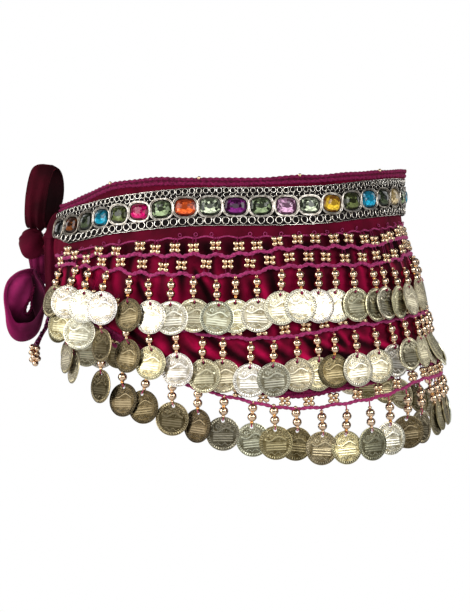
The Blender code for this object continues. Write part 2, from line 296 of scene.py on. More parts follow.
def torus(major, minor, around=12, sides=5, squash=1.0):
    points, faces = [], []
    for k in range(around):
        a = 2 * math.pi * k / around
        for s in range(sides):
            b = 2 * math.pi * s / sides
            r = major + minor * math.cos(b)
            points.append((r * math.cos(a), r * math.sin(a) * squash, minor * math.sin(b)))
    for k in range(around):
        m = (k + 1) % around
        for s in range(sides):
            t = (s + 1) % sides
            faces.append((k * sides + s, m * sides + s, m * sides + t, k * sides + t))
    return shape_of(points, faces)


def tube(path, radius, sides=8, closed=False, ply=0.0, pitch=5.0, flat=1.0):
    """A tube along points. ply gives it the twisted ridges of two-ply yarn."""
    path = np.asarray(path, dtype=float)
    count = len(path)
    ahead = np.roll(path, -1, axis=0) - np.roll(path, 1, axis=0)
    if not closed:
        ahead[0], ahead[-1] = path[1] - path[0], path[-1] - path[-2]
    ahead /= np.maximum(np.linalg.norm(ahead, axis=1, keepdims=True), 1e-9)
    side = np.cross(ahead[0], (0, 0, 1.0))
    if np.linalg.norm(side) < 0.2:
        side = np.cross(ahead[0], (0, 1.0, 0))
    side = unit(side)
    points = []
    run = 0.0
    for i in range(count):
        side = unit(side - ahead[i] * np.dot(side, ahead[i]))
        other = np.cross(ahead[i], side)
        if i:
            run += np.linalg.norm(path[i] - path[i - 1])
        r = radius[i] if hasattr(radius, "__len__") else radius
        for s in range(sides):
            a = 2 * math.pi * s / sides
            bump = 1 + ply * math.cos(2 * a - 2 * math.pi * run / pitch)
            points.append(path[i] + (side * math.cos(a) * flat + other * math.sin(a)) * r * bump)
    faces = []
    for i in range(count if closed else count - 1):
        j = (i + 1) % count
        for s in range(sides):
            t = (s + 1) % sides
            faces.append((i * sides + s, i * sides + t, j * sides + t, j * sides + s))
    if not closed:
        faces.append(tuple(range(sides))[::-1])
        faces.append(tuple((count - 1) * sides + s for s in range(sides)))
    return shape_of(points, faces)


def shell(name, outer, inner, materials, wrap=False, sharp=None, tints=None):
    """A closed thin sheet from two grids of points, rows by columns."""
    rows, cols = outer.shape[:2]
    points = np.concatenate((outer.reshape(-1, 3), inner.reshape(-1, 3)))
    base = rows * cols
    faces = []
    last = cols if wrap else cols - 1
    for r in range(rows - 1):
        for c in range(last):
            d = (c + 1) % cols
            a, b, e, f = r * cols + c, r * cols + d, (r + 1) * cols + d, (r + 1) * cols + c
            faces.append((a, f, e, b))
            faces.append((base + a, base + b, base + e, base + f))
    for c in range(last):
        d = (c + 1) % cols
        faces.append((c, d, base + d, base + c))
        a, b = (rows - 1) * cols + c, (rows - 1) * cols + d
        faces.append((b, a, base + a, base + b))
    if not wrap:
        for r in range(rows - 1):
            a, b = r * cols, (r + 1) * cols
            faces.append((b, a, base + a, base + b))
            a, b = a + cols - 1, b + cols - 1
            faces.append((a, b, base + b, base + a))
    shape = shape_of(points, faces)
    return mesh_from(name, shape[0], shape[1], shape[2], materials, sharp=sharp, tints=tints)


def turned(x, y, z):
    """A turn whose columns are these directions."""
    return np.stack((x, y, z), axis=1)


def spin(axis, degrees):
    return np.array(Matrix.Rotation(math.radians(degrees), 3, Vector(axis)))


# ---------------------------------------------------------------- materials


def principled(name):
    made = bpy.data.materials.new(name)
    made.use_nodes = True
    nodes, links = made.node_tree.nodes, made.node_tree.links
    return made, nodes, links, nodes["Principled BSDF"]


def noise(nodes, links, scale, detail=3.0, stretch=None):
    where = nodes.new("ShaderNodeTexCoord")
    made = nodes.new("ShaderNodeTexNoise")
    made.inputs["Scale"].default_value = scale
    made.inputs["Detail"].default_value = detail
    if stretch:
        mapping = nodes.new("ShaderNodeMapping")
        mapping.inputs["Scale"].default_value = stretch
        links.new(where.outputs["Object"], mapping.inputs["Vector"])
        links.new(mapping.outputs["Vector"], made.inputs["Vector"])
    else:
        links.new(where.outputs["Object"], made.inputs["Vector"])
    return made


def ramp(nodes, links, source, stops):
    made = nodes.new("ShaderNodeValToRGB")
    while len(made.color_ramp.elements) < len(stops):
        made.color_ramp.elements.new(0.5)
    for element, (at, colour) in zip(made.color_ramp.elements, stops):
        element.position = at
        element.color = (*colour, 1)
    links.new(source, made.inputs["Fac"])
    return made.outputs["Color"]


def bump(nodes, links, shader, height, strength, distance):
    made = nodes.new("ShaderNodeBump")
    made.inputs["Strength"].default_value = strength
    made.inputs["Distance"].default_value = distance
    links.new(height, made.inputs["Height"])
    links.new(made.outputs["Normal"], shader.inputs["Normal"])
    return made


def velvet_material(name, deep, mid, tint, sheen=1.0, sheen_rough=0.35, painted_light=False):
    made, nodes, links, shader = principled(name)
    patches = noise(nodes, links, 55, 4)
    colour = ramp(nodes, links, patches.outputs["Fac"], ((0.35, deep), (0.68, mid)))
    # with this flag on, the base colour is multiplied by the painted light and shade tones held in the mesh's tint
    # attribute
    if painted_light:
        painted_shading = nodes.new("ShaderNodeAttribute")
        painted_shading.attribute_name = "tint"
        both = nodes.new("ShaderNodeMix")
        both.data_type = "RGBA"
        both.blend_type = "MULTIPLY"
        both.inputs["Factor"].default_value = 1.0
        links.new(colour, both.inputs["A"])
        links.new(painted_shading.outputs["Color"], both.inputs["B"])
        colour = both.outputs["Result"]
    links.new(colour, shader.inputs["Base Color"])
    shader.inputs["Roughness"].default_value = 0.82
    shader.inputs["Specular IOR Level"].default_value = 0.08
    shader.inputs["Sheen Weight"].default_value = sheen
    shader.inputs["Sheen Roughness"].default_value = sheen_rough
    shader.inputs["Sheen Tint"].default_value = (*tint, 1)
    pile = noise(nodes, links, 1500, 2)
    bump(nodes, links, shader, pile.outputs["Fac"], 0.35, 0.0004)
    return made


def yarn_material(name, deep, mid, tint=(0.9, 0.35, 0.6), sheen=0.35):
    made, nodes, links, shader = principled(name)
    fibres = noise(nodes, links, 700, 4)
    colour = ramp(nodes, links, fibres.outputs["Fac"], ((0.3, deep), (0.7, mid)))
    links.new(colour, shader.inputs["Base Color"])
    shader.inputs["Roughness"].default_value = 0.75
    shader.inputs["Specular IOR Level"].default_value = 0.12
    shader.inputs["Sheen Weight"].default_value = sheen
    shader.inputs["Sheen Roughness"].default_value = 0.5
    shader.inputs["Sheen Tint"].default_value = (*tint, 1)
    bump(nodes, links, shader, fibres.outputs["Fac"], 0.6, 0.0004)
    return made


def metal_material(name, colour, roughness, dark=None):
    made, nodes, links, shader = principled(name)
    shader.inputs["Metallic"].default_value = 1.0
    shader.inputs["Roughness"].default_value = roughness
    if dark:
        worn = noise(nodes, links, 420, 3)
        links.new(ramp(nodes, links, worn.outputs["Fac"], ((0.38, dark), (0.6, colour))), shader.inputs["Base Color"])
    else:
        shader.inputs["Base Color"].default_value = (*colour, 1)
    return made


# the panel velvet and the two loop velvets take painted light and shade from their meshes' tint attribute; the upper
# loop's velvet is also a darker copy of the bow velvet, for painted shade
velvet = velvet_material("velvet", (0.125, 0.0008, 0.015), (0.270, 0.0018, 0.036), (0.95, 0.03, 0.12), 0.22, 0.3, painted_light=True)
velvet_bow = velvet_material("bow velvet", (0.030, 0.0004, 0.004), (0.080, 0.0014, 0.013), (0.85, 0.05, 0.13), 0.32, 0.3)
velvet_bow_painted_shade = velvet_material("bow velvet, laid", (0.018, 0.0002, 0.0022), (0.052, 0.0008, 0.0065), (0.85, 0.04, 0.10), 0.20, 0.3, painted_light=True)
velvet_loop_painted_light = velvet_material("loop velvet, laid", (0.140, 0.005, 0.046), (0.330, 0.025, 0.125), (1.0, 0.20, 0.45), 0.34, 0.4, painted_light=True)
velvet_loop = velvet_material("loop velvet", (0.070, 0.002, 0.019), (0.170, 0.008, 0.058), (1.0, 0.18, 0.42), 0.4, 0.4)
crochet = yarn_material("crochet", (0.15, 0.007, 0.046), (0.42, 0.042, 0.165))
crochet_fuzz = yarn_material("crochet edging", (0.058, 0.0016, 0.015), (0.22, 0.010, 0.068), (0.9, 0.12, 0.34), 0.15)
crochet_shade = yarn_material("crochet seen in shade", (0.035, 0.001, 0.008), (0.09, 0.003, 0.022), (0.5, 0.05, 0.15))
thread = yarn_material("red thread", (0.25, 0.015, 0.05), (0.42, 0.05, 0.12))
gold = metal_material("gold beads", (0.68, 0.49, 0.33), 0.17)
seed_gold = metal_material("seed beads", (0.68, 0.49, 0.31), 0.22)
amber = metal_material("amber seeds", (0.75, 0.38, 0.12), 0.22)
silver = metal_material("antique silver wire", (0.80, 0.76, 0.69), 0.27, (0.40, 0.36, 0.30))
bezel_silver = metal_material("stone wire", (0.68, 0.635, 0.57), 0.30, (0.32, 0.28, 0.23))
# a darker copy of the stone wire, for painted shade
bezel_painted_shade = metal_material("stone wire, painted shade", (0.42, 0.38, 0.32), 0.36, (0.16, 0.13, 0.10))
dark_bead = metal_material("plum seed beads", (0.16, 0.04, 0.12), 0.2)

ground, nodes, links, shader = principled("black ground")
weave = noise(nodes, links, 900, 2, (1, 1, 3))
links.new(ramp(nodes, links, weave.outputs["Fac"], ((0.35, (0.0015, 0.0012, 0.0012)), (0.75, (0.012, 0.008, 0.008)))), shader.inputs["Base Color"])
shader.inputs["Roughness"].default_value = 0.9
shader.inputs["Specular IOR Level"].default_value = 0.12
bump(nodes, links, shader, weave.outputs["Fac"], 0.6, 0.0005)

glass, nodes, links, shader = principled("foiled glass")
tint = nodes.new("ShaderNodeAttribute")
tint.attribute_name = "tint"
links.new(tint.outputs["Color"], shader.inputs["Base Color"])
shader.inputs["Metallic"].default_value = 0.05
shader.inputs["Roughness"].default_value = 0.12
shader.inputs["Specular IOR Level"].default_value = 0.2
shader.inputs["Coat Weight"].default_value = 0.10
shader.inputs["Coat Roughness"].default_value = 0.02


def coin_material():
    """Struck metal: a beaded rim, a crescent and a wave over ruled lines and a garland, by the coin's own face."""
    made, nodes, links, shader = principled("struck coin")
    uv = nodes.new("ShaderNodeUVMap")
    uv.uv_map = "face"
    split = nodes.new("ShaderNodeSeparateXYZ")
    links.new(uv.outputs["UV"], split.inputs["Vector"])

    def m(kind, a, b=None, c=None):
        node = nodes.new("ShaderNodeMath")
        node.operation = kind
        for slot, value in zip(node.inputs, (a, b, c)):
            if value is None:
                continue
            if isinstance(value, (int, float)):
                slot.default_value = value
            else:
                links.new(value, slot)
        return node.outputs[0]

    def band(value, low, high, soft):
        """One between low and high, with soft edges."""
        up = m("SMOOTH_MIN", m("DIVIDE", m("SUBTRACT", value, low), soft), m("DIVIDE", m("SUBTRACT", high, value), soft), 0.3)
        return m("MINIMUM", m("MAXIMUM", up, 0.0), 1.0)

    x = m("SUBTRACT", m("MULTIPLY", split.outputs["X"], 2.0), 1.0)
    y = m("SUBTRACT", m("MULTIPLY", split.outputs["Y"], 2.0), 1.0)
    r = m("SQRT", m("ADD", m("MULTIPLY", x, x), m("MULTIPLY", y, y)))
    turn = m("ARCTAN2", y, x)
    beads = m("MULTIPLY", band(r, 0.80, 0.94, 0.02), m("ADD", m("MULTIPLY", m("SINE", m("MULTIPLY", turn, 40.0)), 0.5), 0.5))
    rim = band(r, 0.955, 1.2, 0.015)
    inner = band(r, -1.0, 0.78, 0.03)
    # ruled lines across the lower middle
    lines = m("MULTIPLY", m("ADD", m("MULTIPLY", m("SINE", m("MULTIPLY", y, 41.0)), 0.5), 0.5), band(y, -0.44, 0.03, 0.03))
    lines = m("MULTIPLY", m("MULTIPLY", lines, 0.5), band(x, -0.62, 0.62, 0.08))
    # a wave, a crescent and hatching over them
    wave_y = m("SUBTRACT", y, m("ADD", 0.24, m("MULTIPLY", m("SINE", m("ADD", m("MULTIPLY", x, 5.6), 0.6)), 0.12)))
    wave = m("MULTIPLY", band(wave_y, -0.07, 0.07, 0.03), band(x, -0.66, 0.66, 0.05))
    cx = m("SUBTRACT", x, 0.28)
    cy = m("SUBTRACT", y, 0.42)
    ring = m("SQRT", m("ADD", m("MULTIPLY", cx, cx), m("MULTIPLY", cy, cy)))
    crescent = m("MULTIPLY", band(ring, 0.11, 0.19, 0.03), band(y, 0.40, 0.9, 0.05))
    small = m("SUBTRACT", x, -0.34)
    small_y = m("SUBTRACT", y, 0.44)
    ring_2 = m("SQRT", m("ADD", m("MULTIPLY", small, small), m("MULTIPLY", small_y, small_y)))
    dot = band(ring_2, 0.05, 0.14, 0.03)
    strokes = nodes.new("ShaderNodeTexNoise")
    strokes.inputs["Scale"].default_value = 11.0
    strokes.inputs["Detail"].default_value = 2.0
    links.new(uv.outputs["UV"], strokes.inputs["Vector"])
    marks = m("MULTIPLY", band(strokes.outputs["Fac"], 0.50, 0.58, 0.03), band(y, 0.12, 0.72, 0.05))
    # a garland under the lines
    fall = m("SUBTRACT", y, m("ADD", -0.60, m("MULTIPLY", m("SINE", m("MULTIPLY", x, 15.0)), 0.055)))
    garland = m("MULTIPLY", band(fall, -0.04, 0.04, 0.03), band(x, -0.48, 0.48, 0.05))
    marks = m("MAXIMUM", m("MULTIPLY", marks, 0.75), garland)
    relief = m("MAXIMUM", m("MAXIMUM", beads, rim), m("MULTIPLY", inner, m("MAXIMUM", m("MAXIMUM", lines, wave), m("MAXIMUM", m("MAXIMUM", crescent, dot), m("MULTIPLY", marks, 0.8)))))
    worn = noise(nodes, links, 260, 4)
    height = m("ADD", m("SUBTRACT", relief, m("MULTIPLY", lines, 0.72)), m("MULTIPLY", worn.outputs["Fac"], 0.35))
    bump(nodes, links, shader, height, 0.8, 0.0006)
    tint = nodes.new("ShaderNodeAttribute")
    tint.attribute_name = "tint"
    shade = nodes.new("ShaderNodeMix")
    shade.data_type = "RGBA"
    shade.blend_type = "MULTIPLY"
    shade.inputs["Factor"].default_value = 1.0
    links.new(tint.outputs["Color"], shade.inputs["A"])
    recess = ramp(nodes, links, m("MINIMUM", m("ADD", relief, m("MULTIPLY", worn.outputs["Fac"], 0.5)), 1.0), ((0.17, (0.27, 0.235, 0.16)), (0.50, (1.0, 1.0, 1.0))))
    links.new(recess, shade.inputs["B"])
    links.new(shade.outputs["Result"], shader.inputs["Base Color"])
    shader.inputs["Metallic"].default_value = 1.0
    shader.inputs["Roughness"].default_value = 0.34
    return made


struck = coin_material()

# ---------------------------------------------------------------- the velvet panel

small_folds = []
for k in range(58):
    small_folds.append(
        (
            rng.uniform(-76, 246),
            rng.uniform(4, 19),  # how far it runs round on its way down
            rng.uniform(0.35, 1.25) * rng.choice((1, 1, -0.8)),
            rng.uniform(1.5, 3.4),
            rng.uniform(0.0, 0.45),
            rng.uniform(0.5, 1.0),
        )
    )


# gathers where the nets draw the cloth in under the strip
gathers = []
angle = -76.0
while angle < 252:
    gathers.append((angle, rng.uniform(-3, 6), rng.uniform(0.8, 2.1), rng.uniform(1.2, 2.4), rng.uniform(0.35, 0.8)))
    angle += rng.uniform(4.0, 9.5)

# The drapes that the view shows between the rows: each ridge's two ends, how far it
# stands out and its half width.
DRAPES = (
    (168, 328, 206, 358, 2.6, 3.4), (212, 334, 250, 360, 2.6, 3.2), (200, 350, 240, 372, 2.0, 2.6),
    (236, 342, 276, 366, 2.2, 2.6), (262, 338, 300, 358, 2.4, 2.2), (280, 350, 320, 366, 1.8, 2.0),
    (316, 343, 360, 357, 2.0, 2.4), (338, 332, 352, 352, 1.6, 2.6), (122, 320, 160, 348, 2.2, 3.2),
    (106, 328, 128, 346, 1.8, 2.6), (298, 332, 332, 350, 1.8, 2.4), (358, 338, 396, 351, 1.8, 2.6),
    (150, 342, 178, 366, 1.8, 2.8), (198, 270, 216, 300, 2.2, 2.6), (140, 284, 150, 300, 1.8, 2.6),
    (246, 268, 262, 298, 2.0, 2.8), (358, 268, 364, 296, 1.8, 2.2),
)
drapes = [(at_pixel(x0, y0, 5), at_pixel(x1, y1, 5), deep, half) for x0, y0, x1, y1, deep, half in DRAPES]
for k in range(30):
    angle = rng.uniform(94, 238)
    height = strip_bottom(angle) + (line("hem", angle) - strip_bottom(angle)) * rng.uniform(0.3, 0.75)
    run, fall = rng.uniform(8, 18) * rng.choice((1, -1)), rng.uniform(8, 17)
    drapes.append(((angle, height), (angle + run, height - fall), rng.uniform(1.2, 2.5), rng.uniform(2.2, 3.4)))


def drape(angle, height):
    out = 0.0
    for (a0, h0), (a1, h1), deep, half in drapes:
        if not min(h0, h1) - 9 < height < max(h0, h1) + 9:
            continue
        x, y, run, rise = (angle - a0) * 2.4, height - h0, (a1 - a0) * 2.4, h1 - h0
        length = math.hypot(run, rise)
        along, away = (x * run + y * rise) / length, (x * rise - y * run) / length
        if -8 < along < length + 8 and abs(away) < 3 * half:
            out += deep * math.exp(-((away / half) ** 2)) * step(-8, 5, along) * step(length + 8, length - 5, along)
    return out


def velvet_out(angle, height):
    """How far out the velvet's face is, with its large and small folds."""
    top, bottom = strip_bottom(angle), line("hem", angle)
    t = (top - height) / (top - bottom)
    out = VELVET
    if t <= 0:
        flare = over_hip(angle) * (1.2 + 2.6 * step(line("top", angle) - 6, line("top", angle), height)) * step(0.0, 0.25, -t)
        return out + flare + 0.25 * math.sin(angle * 0.9) * math.sin(angle * 0.37 + 1)
    fine = drape(angle, height)
    for start, run, depth, half, first, last in small_folds:
        away = angle - start - run * t * (1 if angle < 100 else -0.7)
        if abs(away) < 3 * half:
            fine += depth * math.exp(-((away / half) ** 2)) * step(first - 0.12, first + 0.1, t) * (1 - step(last, last + 0.2, t))
    for start, run, depth, half, last in gathers:
        away = angle - start - run * t
        if abs(away) < 3 * half:
            fine += depth * math.exp(-((away / half) ** 2)) * (1 - step(last, last + 0.2, t))
    fine *= step(0.0, 0.12, t) * (0.35 + 0.65 * room(angle) / FOLD_ROOM)
    out += fold(angle, height) * 0.75 + fine - 0.5 * step(0, 0.12, t)
    limit = VELVET + room(angle) + 0.3 - 1.8 * over_hip(angle) * step(0.85, 0.6, t)
    knee = limit - 1.3
    if out > knee:
        out = limit - 1.3 * math.exp((knee - out) / 1.3)
    return max(0.9, out)


columns = 500
rows_above, rows_below = 6, 54
outer = np.zeros((rows_above + rows_below + 1, columns + 1, 3))
inner = np.zeros_like(outer)
outs = np.zeros(outer.shape[:2])
for c in range(columns + 1):
    angle = RING_START + (RING_END - RING_START) * c / columns
    top, strip, hem = line("top", angle), strip_bottom(angle), line("hem", angle)
    for r in range(rows_above + rows_below + 1):
        if r < rows_above:
            height = top + (strip - top) * r / rows_above
        else:
            height = strip + (hem - strip) * (r - rows_above) / rows_below
        out = velvet_out(angle, height)
        outs[r, c] = out
        outer[r, c] = on_figure(angle, height, out)
        inner[r, c] = on_figure(angle, height, max(out - 1.3, 0.0))
# Painted light and shade on the velvet: it is coloured lighter where the cloth turns up and to the right and on the
# crests, and nearly black in the troughs.
down_step = np.linalg.norm(np.gradient(outer, axis=0), axis=2)
along_step = np.linalg.norm(np.gradient(outer, axis=1), axis=2)
faces_up = np.gradient(outs, axis=0) / np.maximum(down_step, 0.2)
faces_right = -np.gradient(outs, axis=1) / np.maximum(along_step, 0.2)
lit_side = 0.85 * faces_right + 0.75 * faces_up
painted_shading = 0.34 + 3.6 * np.clip(lit_side, 0, 0.5) - 2.0 * np.clip(-lit_side, 0, 0.5) + 0.45 * np.clip((outs - 2.2) / 3.6, -0.3, 1.0)
# under the nets the cloth lies in their shade
shaded = np.array([0.45 + 0.55 * step(8, 20, r - rows_above) for r in range(len(outs))])[:, None]
blend = np.array([step(0, 3, r - rows_above) for r in range(len(outs))])[:, None]
painted_shading = 0.43 + (painted_shading * shaded - 0.43) * blend
# the painted light and shade tones for the outer face, and half tone for the inner face
painted_light = np.ones((2,) + outer.shape)
painted_light[0] = painted_shading[:, :, None]
painted_light[1] = 0.5
panel = shell("velvet", outer, inner, [velvet], tints=np.clip(painted_light.reshape(-1, 3), 0.07, 2.2))
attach(panel, "root")
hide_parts("velvet_panel")

# ---------------------------------------------------------------- edgings


def around(start, end, spacing, height, off):
    """Points along a line round the belt, about evenly spaced, with their angles."""
    points, angles = [], []
    angle = start
    while angle <= end:
        p = on_figure(angle, height(angle), off(angle))
        points.append(p)
        angles.append(angle)
        ahead = on_figure(angle + 0.5, height(angle + 0.5), off(angle + 0.5))
        angle += 0.5 * spacing / max(np.linalg.norm(ahead - p), 0.1)
    return np.array(points), angles


def wobble(seed, size, pitch):
    """A smooth uneven wander along the belt, by angle."""
    r = random.Random(seed)
    waves = [(r.uniform(0.6, 1.6) / pitch, r.uniform(0, 6.3), r.uniform(0.4, 1.0)) for _ in range(5)]
    total = sum(w[2] for w in waves)
    return lambda a: size * sum(w[2] * math.sin(2 * math.pi * w[0] * a + w[1]) for w in waves) / total


pile = Pile()
low, high = wobble(1, 0.5, 20), wobble(2, 0.8, 26)
lower, _ = around(RING_START, RING_END, 0.95, lambda a: line("top", a) + 1.2 + low(a), lambda a: 1.5 + 3.6 * over_hip(a))
upper, _ = around(RING_START, RING_END, 0.95, lambda a: line("top", a) + 4.6 + high(a), lambda a: 1.2 + 0.4 * low(a) + 4.2 * over_hip(a))
pile.add(tube(lower, 1.45, 8, ply=0.24, pitch=4.6))
pile.add(tube(upper, 1.3, 8, ply=0.24, pitch=4.6))
# a strand of shade-coloured yarn behind and between the two ropes: painted shade, for the dark gap between them
middle, _ = around(RING_START, RING_END, 2.5, lambda a: line("top", a) + 2.9, lambda a: 0.5 + 3.9 * over_hip(a))
pile.add(tube(middle, 1.5, 6), slot=2)
# a thinner shade-coloured strand under the lower rope, along the velvet's top edge: painted shade
foot, _ = around(RING_START, RING_END, 2.5, lambda a: line("top", a) + 0.4, lambda a: 0.9 + 3.5 * over_hip(a))
pile.add(tube(foot, 0.9, 6), slot=2)
seed = ball(1.5, 1.35, 1.3, 10, 7)
seeds = [at_pixel(x, y, 2)[0] for x, y in ((110, 183), (199, 179), (300, 177), (380, 173))]
while seeds[-1] < RING_END - 36:
    seeds.append(seeds[-1] + 33 * rng.uniform(0.9, 1.1))
for angle in seeds:
    spot, along, up, out = frame_at(angle, line("top", angle) + 5.6 + high(angle), 1.9 + 4.2 * over_hip(angle))
    pile.add(seed, turned(along, up, out), spot, slot=1)
edging = pile.make("top_crochet", [crochet_fuzz, seed_gold, crochet_shade])
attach(edging, "root")
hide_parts("top_edging")


def loopings(pile, start, end, height, off, spacing, size, radius, slot=0, chance=1.0):
    """Small picot loops of yarn standing off an edge."""
    angle = start
    ring = torus(size, radius, 9, 4)
    while angle < end:
        if rng.random() < chance:
            spot, along, up, out = frame_at(angle, height(angle), off(angle))
            turn = turned(along, up, out) @ spin((1, 0, 0), rng.uniform(-35, 35)) @ spin((0, 1, 0), rng.uniform(-30, 30))
            pile.add(ring, turn, spot, slot=slot)
        angle += spacing / 2.3 * rng.uniform(0.8, 1.25)


pile = Pile()


def hem_out(a):
    return velvet_out(a, line("hem", a)) - 0.4


hem_wave = wobble(5, 0.5, 7)
rope, _ = around(RING_START, RING_END, 0.9, lambda a: line("hem", a) - 1.2 + hem_wave(a), hem_out)
pile.add(tube(rope, 1.5, 8, ply=0.22, pitch=4.0))
second, _ = around(RING_START, RING_END, 0.9, lambda a: line("hem", a) + 1.9 + hem_wave(a + 3), lambda a: velvet_out(a, line("hem", a) + 1.9) + 0.5)
pile.add(tube(second, 1.2, 8, ply=0.22, pitch=4.0))
loopings(pile, RING_START, RING_END, lambda a: line("hem", a) + 0.6, lambda a: hem_out(a) + 1.4, 2.0, 1.0, 0.4)
hem_piece = pile.make("hem_crochet", [crochet_fuzz])
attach(hem_piece, "root")
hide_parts("hem_edging")

# ---------------------------------------------------------------- jewelled braid

BRAID_IN = 2.3


def braid_point(angle, across, off):
    """A point on the braid: across is up from its middle."""
    return frame_at(angle, line("braid", angle) + across, off + 1.6 * over_hip(angle))




def tapered(across, angle):
    """The braid's ends are rounded off from below."""
    end = min(max(min(angle - BRAID_START, BRAID_END - angle) / 13.0, 0.0), 1.0)
    rise = (1 - end) ** 1.3
    return across * (1 - 0.95 * rise) if across < 0 else across * (1 - 0.12 * rise)


columns = 300
profile = ((-14.0, 0.2), (-13.6, 1.1), (-8.6, 1.5), (-7.4, 0.9), (7.4, 0.9), (8.6, 1.5), (13.6, 1.1), (14.0, 0.2))
outer = np.zeros((len(profile), columns + 1, 3))
inner = np.zeros_like(outer)
for c in range(columns + 1):
    angle = BRAID_START + (BRAID_END - BRAID_START) * c / columns
    for r, (across, out) in enumerate(profile[::-1]):
        height = line("braid", angle) + tapered(across, angle)
        outer[r, c] = on_figure(angle, height, BRAID_IN + out + 1.6 * over_hip(angle))
        inner[r, c] = on_figure(angle, height, BRAID_IN - 0.1 + 1.2 * over_hip(angle))
ground_band = shell("braid_ground", outer, inner, [ground])
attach(ground_band, "root")
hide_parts("jewel_trim")

pile = Pile()
ring = torus(2.1, 0.36, 16, 6)
for row, (across, off, size) in enumerate(((11.6, 2.5, 0.92), (8.5, 1.9, 0.80), (-10.2, 2.4, 1.22))):
    angle = BRAID_START + 0.6 + 0.8 * (row % 2)
    while angle < BRAID_END - 0.4:
        spot, along, up, out = braid_point(angle, tapered(across, angle) + rng.uniform(-0.2, 0.2), BRAID_IN + off - 0.8)
        turn = turned(along, up, out) @ spin((0, 1, 0), 7 + rng.uniform(-4, 4)) @ spin((1, 0, 0), rng.uniform(-6, 6))
        pile.add(ring, turn * size, spot)
        step_angle = on_figure(angle + 0.5, line("braid", angle), 3) - on_figure(angle, line("braid", angle), 3)
        angle += 0.5 * (4.9 * size + 0.35) / np.linalg.norm(step_angle) * rng.uniform(0.93, 1.07)
# the wires that run along the braid, between the rings and the stones
for across, off, radius in ((13.7, 1.0, 0.30), (-13.7, 1.0, 0.30), (-7.5, 0.9, 0.22)):
    wave = wobble(int(across * 10) + 300, 0.35, 4)
    wire, _ = around(BRAID_START + 0.3, BRAID_END - 0.3, 1.7, lambda a: line("braid", a) + tapered(across + wave(a), a), lambda a: BRAID_IN + off + 1.6 * over_hip(a))
    pile.add(tube(wire, radius, 5))
rings_piece = pile.make("braid_rings", [silver])
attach(rings_piece, "root")
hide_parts("jewel_trim")


def gem_places():
    steps = 1660
    angles = [BRAID_START + (BRAID_END - BRAID_START) * k / steps for k in range(steps + 1)]
    spots = [on_figure(a, line("braid", a), 4.8) for a in angles]
    along = [0.0]
    for p, q in zip(spots, spots[1:]):
        along.append(along[-1] + np.linalg.norm(q - p))
    places, k = [], 0
    for g in range(GEMS):
        wanted = along[-1] * (g + 0.5) / GEMS
        while along[k] < wanted:
            k += 1
        places.append(angles[k])
    return places


# each stone's deep colour and the colour of its painted highlights
STONES = {
    "black": ((0.001, 0.0015, 0.001), (0.020, 0.022, 0.018)),
    "brown": ((0.012, 0.003, 0.001), (0.20, 0.060, 0.014)),
    "dark": ((0.003, 0.004, 0.002), (0.075, 0.095, 0.050)),
    "turquoise": ((0.001, 0.024, 0.034), (0.01, 0.34, 0.50)),
    "olive": ((0.009, 0.010, 0.003), (0.15, 0.18, 0.06)),
    "pink": ((0.070, 0.0005, 0.010), (0.70, 0.006, 0.15)),
    "green": ((0.006, 0.008, 0.003), (0.36, 0.46, 0.24)),
    "orange": ((0.060, 0.002, 0.001), (0.95, 0.15, 0.030)),
    "pale": ((0.005, 0.008, 0.004), (0.90, 1.0, 0.70)),
    "purple": ((0.016, 0.0008, 0.012), (0.22, 0.020, 0.20)),
    "lilac": ((0.060, 0.018, 0.040), (0.90, 0.52, 0.76)),
    "amber": ((0.085, 0.018, 0.001), (1.0, 0.66, 0.05)),
    "cream": ((0.16, 0.11, 0.04), (0.90, 0.72, 0.42)),
    "teal": ((0.001, 0.035, 0.060), (0.02, 0.46, 0.72)),
}
FRONT_STONES = (
    "black", "brown", "dark", "turquoise", "olive", "pink", "green", "orange", "pale",
    "purple", "green", "lilac", "pale", "amber", "olive", "teal", "dark", "cream",
)
BACK_STONES = (
    "green", "turquoise", "orange", "olive", "purple", "pale", "pink", "green", "amber", "lilac",
    "dark", "teal", "orange", "green", "purple", "olive", "cream", "pink", "black",
)


def cushion(sides, w, h, power=0.72):
    ring = []
    for k in range(sides):
        a = 2 * math.pi * (k + 0.5) / sides
        c, s = math.cos(a), math.sin(a)
        ring.append((math.copysign(abs(c) ** power, c) * w / 2, math.copysign(abs(s) ** power, s) * h / 2))
    return ring


